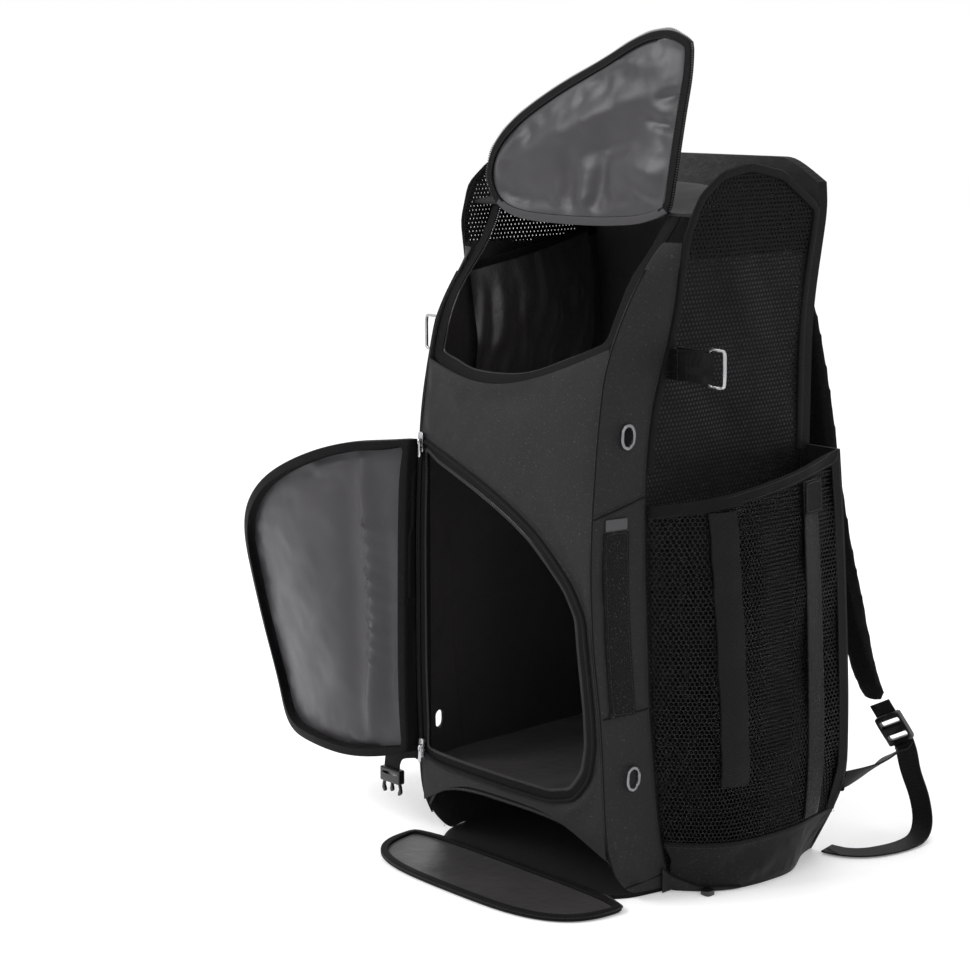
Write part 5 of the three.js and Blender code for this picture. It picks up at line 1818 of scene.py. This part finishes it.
    def buckle(self) -> None:
        """Makes the buckle that hangs below the door, with its prongs, and its webbing."""
        ribbon("buckle_webbing", WEBBING, (0, -1, 0))
        low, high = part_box("side_buckle")
        middle = (low + high) / 2
        size = high - low
        body_foot = low.z + 0.45 * size.z
        plate = bmesh.new()
        bmesh.ops.create_cube(plate, size=1.0)
        for vert in plate.verts:
            vert.co = Vector((middle.x + vert.co.x * size.x * 0.98, middle.y + vert.co.y * size.y,
                              (body_foot + high.z) / 2 + vert.co.z * (high.z - body_foot)))
        bmesh.ops.bevel(plate, geom=plate.edges[:], offset=2 * MM, segments=3, profile=0.6,
                        affect="EDGES")
        body = bpy.data.meshes.new("buckle")
        plate.to_mesh(body)
        plate.free()
        slot = oval_prism((middle.x, middle.y, high.z - 5.5 * MM), 0.0035, 0.0035, 0.03, 1)
        points = mesh_points(slot)
        points[:, 0] = middle.x + (points[:, 0] - middle.x) * 7.2
        set_points(slot, points)
        place_piece("side_buckle_part", punched(body, [slot]), [PLASTIC], ["side_buckle"], sharp=50)
        self.prongs(body_foot)

    def prongs(self, top: float) -> None:
        """Makes the buckle's two springy side prongs and its middle one, down from a height.

        Args:
            top: height at which they leave the body.
        """
        low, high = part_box("side_buckle")
        middle = (low + high) / 2
        count = len(self.prong_width)
        widths = np.array(self.prong_width) * MM
        for number, aside in enumerate((-0.36, 0.0, 0.36)):
            foot = low.z + (0.4 * MM if aside else 3 * MM)
            heights = np.linspace(top + 1 * MM, foot, count)
            bow = np.sin(np.linspace(0, math.pi, count)) * 2.0 * MM * np.sign(aside)
            points = np.stack([middle.x + aside * (high - low).x + bow, np.full(count, middle.y), heights],
                              axis=1)
            place_piece(f"buckle_prong_{number + 1}", tapered_bar(points, widths, 4.2 * MM, 0.7), [PLASTIC])


@dataclass
class ShoeSpace:
    """The opening for shoes under the front panel, and its door on the floor."""

    binding_round: float = 0.4

    def build(self) -> None:
        """Makes the zip strip of the arch, its teeth, the door and the door's bound edge."""
        shape = node_shape("shoe_tape", (0, -1, 0))
        left, right = strip_sides(rim_lines(shape)[0])
        flat = along_line(left)
        place_piece("shoe_tape_strip", subdivided(shape, 2), [TAPE] * 3, ["shoe_tape"], flat)
        lower = left if left.points[:, 2].mean() < right.points[:, 2].mean() else right
        zip_teeth(lower, "shoe_teeth")
        relief = Relief(plane(0, 1), (0, 0, 1), (), wave=0.5 * MM, wave_size=0.1, seed=41)
        door = panel("shoe_door", (0, 0, 1), (INNER_LINING, SHELL, SHELL), 2, relief)
        declare_sheet(door, plane(0, 1), ["base_panel_cloth"])
        bound_edge("shoe_door_binding", (0, 0, 1), self.binding_round)
        shape = node_shape("shoe_door_binding", (0, 0, 1))
        outer = rim_lines(shape)[0]
        shape.free()
        zip_teeth(outer.spaced(5 * MM).part(0.05, 0.8).moved(0, -1.5 * MM), "shoe_door_teeth")


@dataclass
class Sleeve:
    """One mesh sleeve beside the body: net, hem, cloth foot, back, webbing and bands."""

    side: Side
    tack_heights: tuple[float, ...] = (399, 359, 319, 242, 169, 121)
    loop_lift: float = 1.6
    corner_width: float = 14 * MM
    band_stitch: float = 2.2 * MM
    band_seam: tuple[tuple[float, float], ...] = ((-83, 33), (-66, 17), (-47, 6), (-30, 5.5), (-8, 3))

    def build(self) -> None:
        """Builds every piece of the sleeve."""
        self.net()
        self.hem()
        self.boot()
        self.back()
        self.webbing()
        self.bands()

    def out(self) -> tuple[float, float, float]:
        """Returns the direction away from the body."""
        return (float(self.side.value), 0.0, 0.0)

    def sewn(self, name: str, finishes: Sequence[Finish], levels: int,
             relief: Relief) -> bpy.types.Object:
        """Args:
            name: the CAD node, without its side.
            finishes: finishes of its layers.
            levels: how finely it is split.
            relief: its folds.

        Returns:
            The piece.
        """
        node = self.side.node(name)
        shape = node_shape(node, self.out())
        mesh = subdivided(shape, levels)
        flat = unrolled(mesh, 1, 2)
        relief.flat = flat
        relief.apply(mesh)
        piece = place_piece(f"{node}_cloth", mesh, finishes, [node], flat)
        declare_sheet(piece, flat, [self.side.node("sleeve_back") + "_cloth"])
        return piece

    def net(self) -> None:
        """Makes the open net."""
        folds = (Fold((10, 380), (60, 300), 16, 1.5), Fold((60, 120), (150, 90), 18, -2.0),
                 Fold((40, 230), (120, 180), 16, 1.6), Fold((150, 370), (220, 330), 20, -1.5))
        relief = Relief(plane(1, 2), self.out(), folds, wave=1.4 * MM, wave_size=0.14,
                        seed=51 + self.side.value)
        self.sewn("sleeve_mesh", (SLEEVE_NET, SLEEVE_NET, BINDING), 3, relief)

    def hem(self) -> None:
        """Makes the bound hem of the net with its two rows of stitches."""
        relief = Relief(plane(1, 2), self.out(), (), wave=0.4 * MM, wave_size=0.05, seam=0.004,
                        seed=57)
        self.sewn("sleeve_hem", (BINDING, BINDING, BINDING), 3, relief)
        shape = node_shape(self.side.node("sleeve_hem"), self.out())
        left, right = strip_sides(rim_lines(shape)[0])
        shape.free()
        upper, lower = sorted((left, right), key=lambda line: -line.points[:, 2].mean())
        for name, share in (("upper", 0.16), ("lower", 0.84)):
            line = Line(upper.points + share * (lower.points - upper.points), upper.normals)
            stitches(line.spaced(6 * MM).moved(0, 0.3 * MM), self.side.node(f"hem_stitch_{name}"))

    def boot(self) -> None:
        """Makes the sleeve's cloth foot, the lighter base band over it and their seams."""
        folds = (Fold((-40, 30), (60, 48), 9, 1.6), Fold((60, 16), (130, 44), 10, -1.6),
                 Fold((-60, 44), (20, 34), 8, 1.2), Fold((110, 10), (170, 30), 9, 1.4))
        relief = Relief(plane(1, 2), self.out(), folds, wave=1.0 * MM, wave_size=0.09,
                        pucker=0.5 * MM, seam=0.008, seed=61)
        self.sewn("sleeve_boot", (BOOT, SHELL_BACKING, BOOT), 3, relief)
        shape = node_shape(self.side.node("sleeve_mesh"), self.out())
        rim = rim_lines(shape)[0]
        shape.free()
        foot = rim.points[:, 2] < rim.points[:, 2].min() + 3 * MM
        order = np.argsort(rim.points[foot][:, 1])
        line = Line(rim.points[foot][order], rim.normals[foot][order]).spaced(6 * MM)
        seam_groove(line.moved(0, 0.5 * MM), self.side.node("boot_seam"), 2.4 * MM)
        below = Line(line.points - [0, 0, 4 * MM], line.normals)
        stitches(below.moved(0, 0.7 * MM), self.side.node("boot_stitch"))
        self.base_band()

    def base_band(self) -> None:
        """Lays the body's lighter cloth over the front of the sleeve's foot."""
        sign = self.side.value
        boot = bpy.data.objects[self.side.node("sleeve_boot") + "_cloth"]
        tree = BVHTree.FromPolygons([v.co for v in boot.data.vertices],
                                    [tuple(p.vertices) for p in boot.data.polygons])
        seam = np.array(self.band_seam) * MM
        fronts = np.linspace(-0.0775, seam[-1, 0], 27)
        tops = np.interp(fronts, seam[:, 0], seam[:, 1])
        layers: list[list[tuple[float, float, float]]] = [[], []]
        for lift, layer in ((1.3 * MM, layers[0]), (0.3 * MM, layers[1])):
            for share in np.linspace(0, 1, 7):
                for y, top in zip(fronts, tops):
                    z = 0.6 * MM + share * (top - 0.6 * MM)
                    found = tree.ray_cast(Vector((sign, y, z)), Vector((-sign, 0, 0)))[0]
                    x = found.x if found is not None else sign * 0.152
                    layer.append((x + sign * lift, y, z))
        mesh = subdivided(grid_mesh(layers, (6, 26)), 1)
        piece = place_piece(self.side.node("base_band"), mesh, [SHELL, SHELL, SHELL], (), plane(1, 2))
        declare_sheet(piece, plane(1, 2), [boot.name])
        points = [Vector(point) for point in layers[0][-27:]]
        line = Line(np.array(points), np.tile([float(sign), 0, 0], (27, 1)))
        seam_groove(line.moved(0, 0.2 * MM), self.side.node("base_band_seam"), 2.2 * MM)

    def back(self) -> None:
        """Makes the wing of the back that closes the sleeve, and the twill band at its corner."""
        node = self.side.node("sleeve_back")
        relief = Relief(plane(0, 2), (0, 1, 0), (), wave=0.8 * MM, wave_size=0.08, seed=67)
        piece = panel(node, (0, 1, 0), (BOOT, SHELL_BACKING, BOOT), 2, relief)
        declare_sheet(piece, plane(0, 2), ["back_panel_cushion"])
        mesh_node = node_shape(self.side.node("sleeve_mesh"), self.out())
        rim = rim_lines(mesh_node)[0]
        mesh_node.free()
        far = rim.points[:, 1] > rim.points[:, 1].max() - 0.004
        order = np.argsort(rim.points[far][:, 2])
        edge = Line(rim.points[far][order], rim.normals[far][order]).spaced(8 * MM)
        middle = Line(edge.points - [0, self.corner_width / 2, 0], edge.normals)
        sweep(middle.moved(0, 0.9 * MM), round_section(self.corner_width, 1.6 * MM, 10, 0.5),
              self.side.node("corner_band"), BINDING)
        for name, aside in (("front", 0.42), ("rear", -0.42)):
            row = Line(middle.points + [0, aside * self.corner_width, 0], middle.normals)
            stitches(row.moved(0, 1.7 * MM), self.side.node(f"corner_stitch_{name}"))

    def webbing(self) -> None:
        """Makes the ladder webbing: tacked down at its seams and standing off between them."""
        node = self.side.node("sleeve_webbing")
        shape = node_shape(node, self.out())
        middle = strip_middle(rim_lines(shape)[0])
        if middle.points[0, 2] < middle.points[-1, 2]:
            middle = Line(middle.points[::-1], middle.normals[::-1])
        mesh = subdivided(shape, 3)
        points = mesh_points(mesh)
        heights = np.array(sorted(self.tack_heights)) * MM
        near = np.interp(points[:, 2], heights, np.arange(len(heights)))
        lift = np.abs(np.sin(math.pi * near)) * self.loop_lift * MM
        points[:, 0] += self.side.value * lift
        set_points(mesh, points)
        flat = along_line(middle)
        place_piece(f"{node}_strip", mesh, [WEBBING] * 3, [node], flat)
        tops = middle.points[:, 2]
        shares = [float(np.interp(-h * MM, -tops, np.linspace(0, 1, len(tops))))
                  for h in self.tack_heights]
        tacks(middle.moved(0, 0.3 * MM), shares, self.side.node("webbing_tacks"), 14 * MM)

    def bands(self) -> None:
        """Makes the fuzzy rear band and the smoother tab over its top."""
        ribbon(self.side.node("rear_band"), HOOK_TAPE, self.out())
        ribbon(self.side.node("hook_tab"), BINDING, self.out())
        for name in ("hook_tab", "rear_band"):
            node = self.side.node(name)
            hem_stitches(node, self.out(), self.band_stitch, self.side.node(f"{name}_stitch"))


@dataclass
class Retainer:
    """One retaining strap high on a side, with its metal loop."""

    side: Side

    def build(self) -> None:
        """Makes the strap, its stitches and the plated loop."""
        node = self.side.node("retainer_strap")
        shape = node_shape(node, (0, -1, 0))
        flat = along_line(strip_middle(rim_lines(shape)[0]))
        place_piece(f"{node}_strip", subdivided(shape, 2), [WEBBING] * 3, [node], flat)
        hardware(self.side.node("retainer_loop"), METAL, 2, 0.3)
        low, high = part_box(node)
        sign = self.side.value
        start = (low.x if sign > 0 else high.x) + sign * 12 * MM
        line = Line(np.array([[start, low.y - 0.1 * MM, low.z + 2 * MM],
                              [start, low.y - 0.1 * MM, (low.z + high.z) / 2],
                              [start, low.y - 0.1 * MM, high.z - 2 * MM]]),
                    np.tile([0.0, -1.0, 0.0], (3, 1)))
        row_of(STITCH, line.spaced(3 * MM), self.side.node("retainer_stitch"), THREAD)


@dataclass
class Harness:
    """One shoulder strap: its pad, adjuster, webbing, free tail and anchor."""

    side: Side
    voxel: float = 0.005
    swell_cap: float = 0.003
    steps: int = 20

    def build(self) -> None:
        """Builds every piece of the strap."""
        self.pad()
        hardware(self.side.node("ladder_lock"), PLASTIC, 2, 0.5)
        for name, towards in (("pad_tail", (0, 1, 0)), ("lower_strap", (0, 0, 1)),
                              ("strap_tail", (0, 1, 1))):
            ribbon(self.side.node(name), WEBBING, towards)
        anchor = self.side.node("strap_anchor")
        place_piece(f"{anchor}_tab", subdivided(node_shape(anchor), 2, 0.8), [WEBBING], [anchor])
        self.tail_fold()

    def pad(self) -> None:
        """Makes the swollen pad."""
        node = self.side.node("shoulder_pad")
        shape = node_shape(node)
        mesh = subdivided(shape, 1, 0.0)
        mesh = self.swollen(mesh)
        piece = place_piece(f"{node}_cushion", mesh, [SPACER_MESH], [node], sharp=70.0)

    def resampled(self, mesh: bpy.types.Mesh) -> bpy.types.Mesh:
        """Returns the mesh rebuilt of even voxels.

        Args:
            mesh: the mesh.

        Returns:
            The rebuilt mesh.
        """
        holder = bpy.data.objects.new("pad", mesh)
        bpy.context.scene.collection.objects.link(holder)
        step = holder.modifiers.new("voxels", "REMESH")
        step.mode, step.voxel_size, step.use_smooth_shade = "VOXEL", self.voxel, True
        graph = bpy.context.evaluated_depsgraph_get()
        made = bpy.data.meshes.new_from_object(holder.evaluated_get(graph), depsgraph=graph)
        bpy.data.objects.remove(holder)
        return made

    def swollen(self, mesh: bpy.types.Mesh) -> bpy.types.Mesh:
        """Blows the pad up a little as foam does under its cover.

        Args:
            mesh: the pad's rough shape.

        Returns:
            The pad, with no vertex moved further than the cap.
        """
        soft = self.resampled(mesh)
        before = mesh_points(soft)
        normals = np.empty(3 * len(soft.vertices))
        soft.vertex_normals.foreach_get("vector", normals)
        slim = before - 0.0015 * normals.reshape(-1, 3)
        set_points(soft, slim)
        holder = bpy.data.objects.new("pad", soft)
        scene = bpy.context.scene
        scene.collection.objects.link(holder)
        cloth = holder.modifiers.new("cloth", "CLOTH")
        cloth.settings.use_pressure = True
        cloth.settings.uniform_pressure_force = 4.0
        cloth.settings.quality = 4
        cloth.settings.effector_weights.gravity = 0.0
        cloth.point_cache.frame_start, cloth.point_cache.frame_end = 1, self.steps
        for number in range(1, self.steps + 1):
            scene.frame_set(number)
        graph = bpy.context.evaluated_depsgraph_get()
        blown = holder.evaluated_get(graph).to_mesh()
        after = mesh_points(blown)
        holder.evaluated_get(graph).to_mesh_clear()
        bpy.data.objects.remove(holder)
        scene.frame_set(1)
        move = after - slim
        length = np.linalg.norm(move, axis=1, keepdims=True)
        move *= np.minimum(1.0, self.swell_cap / np.maximum(length, 1e-9))
        set_points(soft, slim + move)
        bm = bmesh.new()
        bm.from_mesh(soft)
        return subdivided(bm, 1, 0.0)

    def tail_fold(self) -> None:
        """Sews the fold at the end of the free tail."""
        shape = node_shape(self.side.node("strap_tail"), (0, 1, 1))
        middle = strip_middle(rim_lines(shape)[0])
        shape.free()
        share = 0.97 if middle.points[-1, 2] < middle.points[0, 2] else 0.03
        tacks(middle.moved(0, 0.3 * MM), [share], self.side.node("tail_tack"), 20 * MM)


@dataclass
class Studio:
    """The plain pale floor, soft light and the camera at the photo's viewing angle."""

    azimuth: float = 47.5
    elevation: float = 10.5
    distance: float = 2.55
    focal_pixels: float = 2290.0
    target: tuple[float, float, float] = (-0.155, -0.045, 0.3845)
    lit_point: tuple[float, float, float] = (0.0, -0.05, 0.4)
    floor_tone: tuple[float, ...] = (0.86, 0.86, 0.865, 1.0)
    floor_glow: float = 0.16
    floor_reach: float = 9.0
    floor_gap: float = 0.0005

    def camera(self) -> None:
        """Places the camera."""
        a, e = math.radians(self.azimuth), math.radians(self.elevation)
        back = Vector((math.sin(a) * math.cos(e), -math.cos(a) * math.cos(e), math.sin(e)))
        data = bpy.data.cameras.new("camera")
        data.sensor_width = SENSOR_WIDTH
        data.lens = self.focal_pixels / PHOTO_WIDTH * SENSOR_WIDTH
        data.clip_end = 30.0
        camera = bpy.data.objects.new("camera", data)
        camera.location = Vector(self.target) + self.distance * back
        camera.rotation_euler = back.to_track_quat("Z", "Y").to_euler()
        bpy.context.scene.collection.objects.link(camera)
        bpy.context.scene.camera = camera

    def build(self) -> None:
        """Makes the floor, the backdrop's light and the lamps."""
        reach, level = self.floor_reach, -self.floor_gap
        corners_of_floor = [[-reach, -reach, level], [reach, -reach, level], [reach, reach, level],
                            [-reach, reach, level]]
        floor = mesh_from(np.array(corners_of_floor), [(0, 1, 2, 3)], "floor")
        paper = bpy.data.materials.new("pale_floor")
        paper.use_nodes = True
        shader = paper.node_tree.nodes["Principled BSDF"]
        shader.inputs["Base Color"].default_value = self.floor_tone
        shader.inputs["Roughness"].default_value = 0.55
        shader.inputs["Emission Color"].default_value = (1.0, 1.0, 1.0, 1.0)
        shader.inputs["Emission Strength"].default_value = self.floor_glow
        floor.materials.append(paper)
        stage = bpy.data.objects.new("floor", floor)
        bpy.context.scene.collection.objects.link(stage)
        world = bpy.data.worlds.new("studio")
        bpy.context.scene.world = world
        world.use_nodes = True
        sky = world.node_tree.nodes["Background"]
        sky.inputs["Color"].default_value = (1.0, 1.0, 1.0, 1.0)
        sky.inputs["Strength"].default_value = 1.0
        bpy.context.scene.view_settings.view_transform = "Standard"
        self.lamp("key", (-1.2, -2.4, 2.3), 1.1, 62.0)
        self.lamp("side", (2.6, -0.9, 1.6), 1.4, 10.0)
        self.lamp("top", (0.2, 0.3, 3.0), 2.0, 22.0)

    def lamp(self, name: str, place: Sequence[float], size: float, power: float) -> None:
        """Hangs a soft square lamp that looks at the bag.

        Args:
            name: the lamp's name.
            place: where it hangs.
            size: length of its side.
            power: its power in watts.
        """
        data = bpy.data.lights.new(name, "AREA")
        data.shape, data.size, data.energy = "SQUARE", size, power
        lamp = bpy.data.objects.new(name, data)
        lamp.location = place
        aim = Vector(self.lit_point) - Vector(place)
        lamp.rotation_euler = aim.to_track_quat("-Z", "Y").to_euler()
        bpy.context.scene.collection.objects.link(lamp)


def corners(box: Sequence[Sequence[float]]) -> list[list[float]]:
    """Returns a box's two corners as plain lists."""
    return [[float(value) for value in corner] for corner in box]


def main() -> None:
    """Builds the bag over its frame."""
    logging.basicConfig(level=logging.INFO, format="%(message)s")
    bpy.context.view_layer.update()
    studio = Studio()
    studio.camera()
    parts = [Body(), Mouth(), FrontDoor(), ShoeSpace()]
    parts += [kind(side) for kind in (Sleeve, Retainer, Harness) for side in Side]
    for part in parts:
        part.build()
        LOG.info("%s done", type(part).__name__)
    studio.build()
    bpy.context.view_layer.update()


if __name__ == "__main__":
    main()
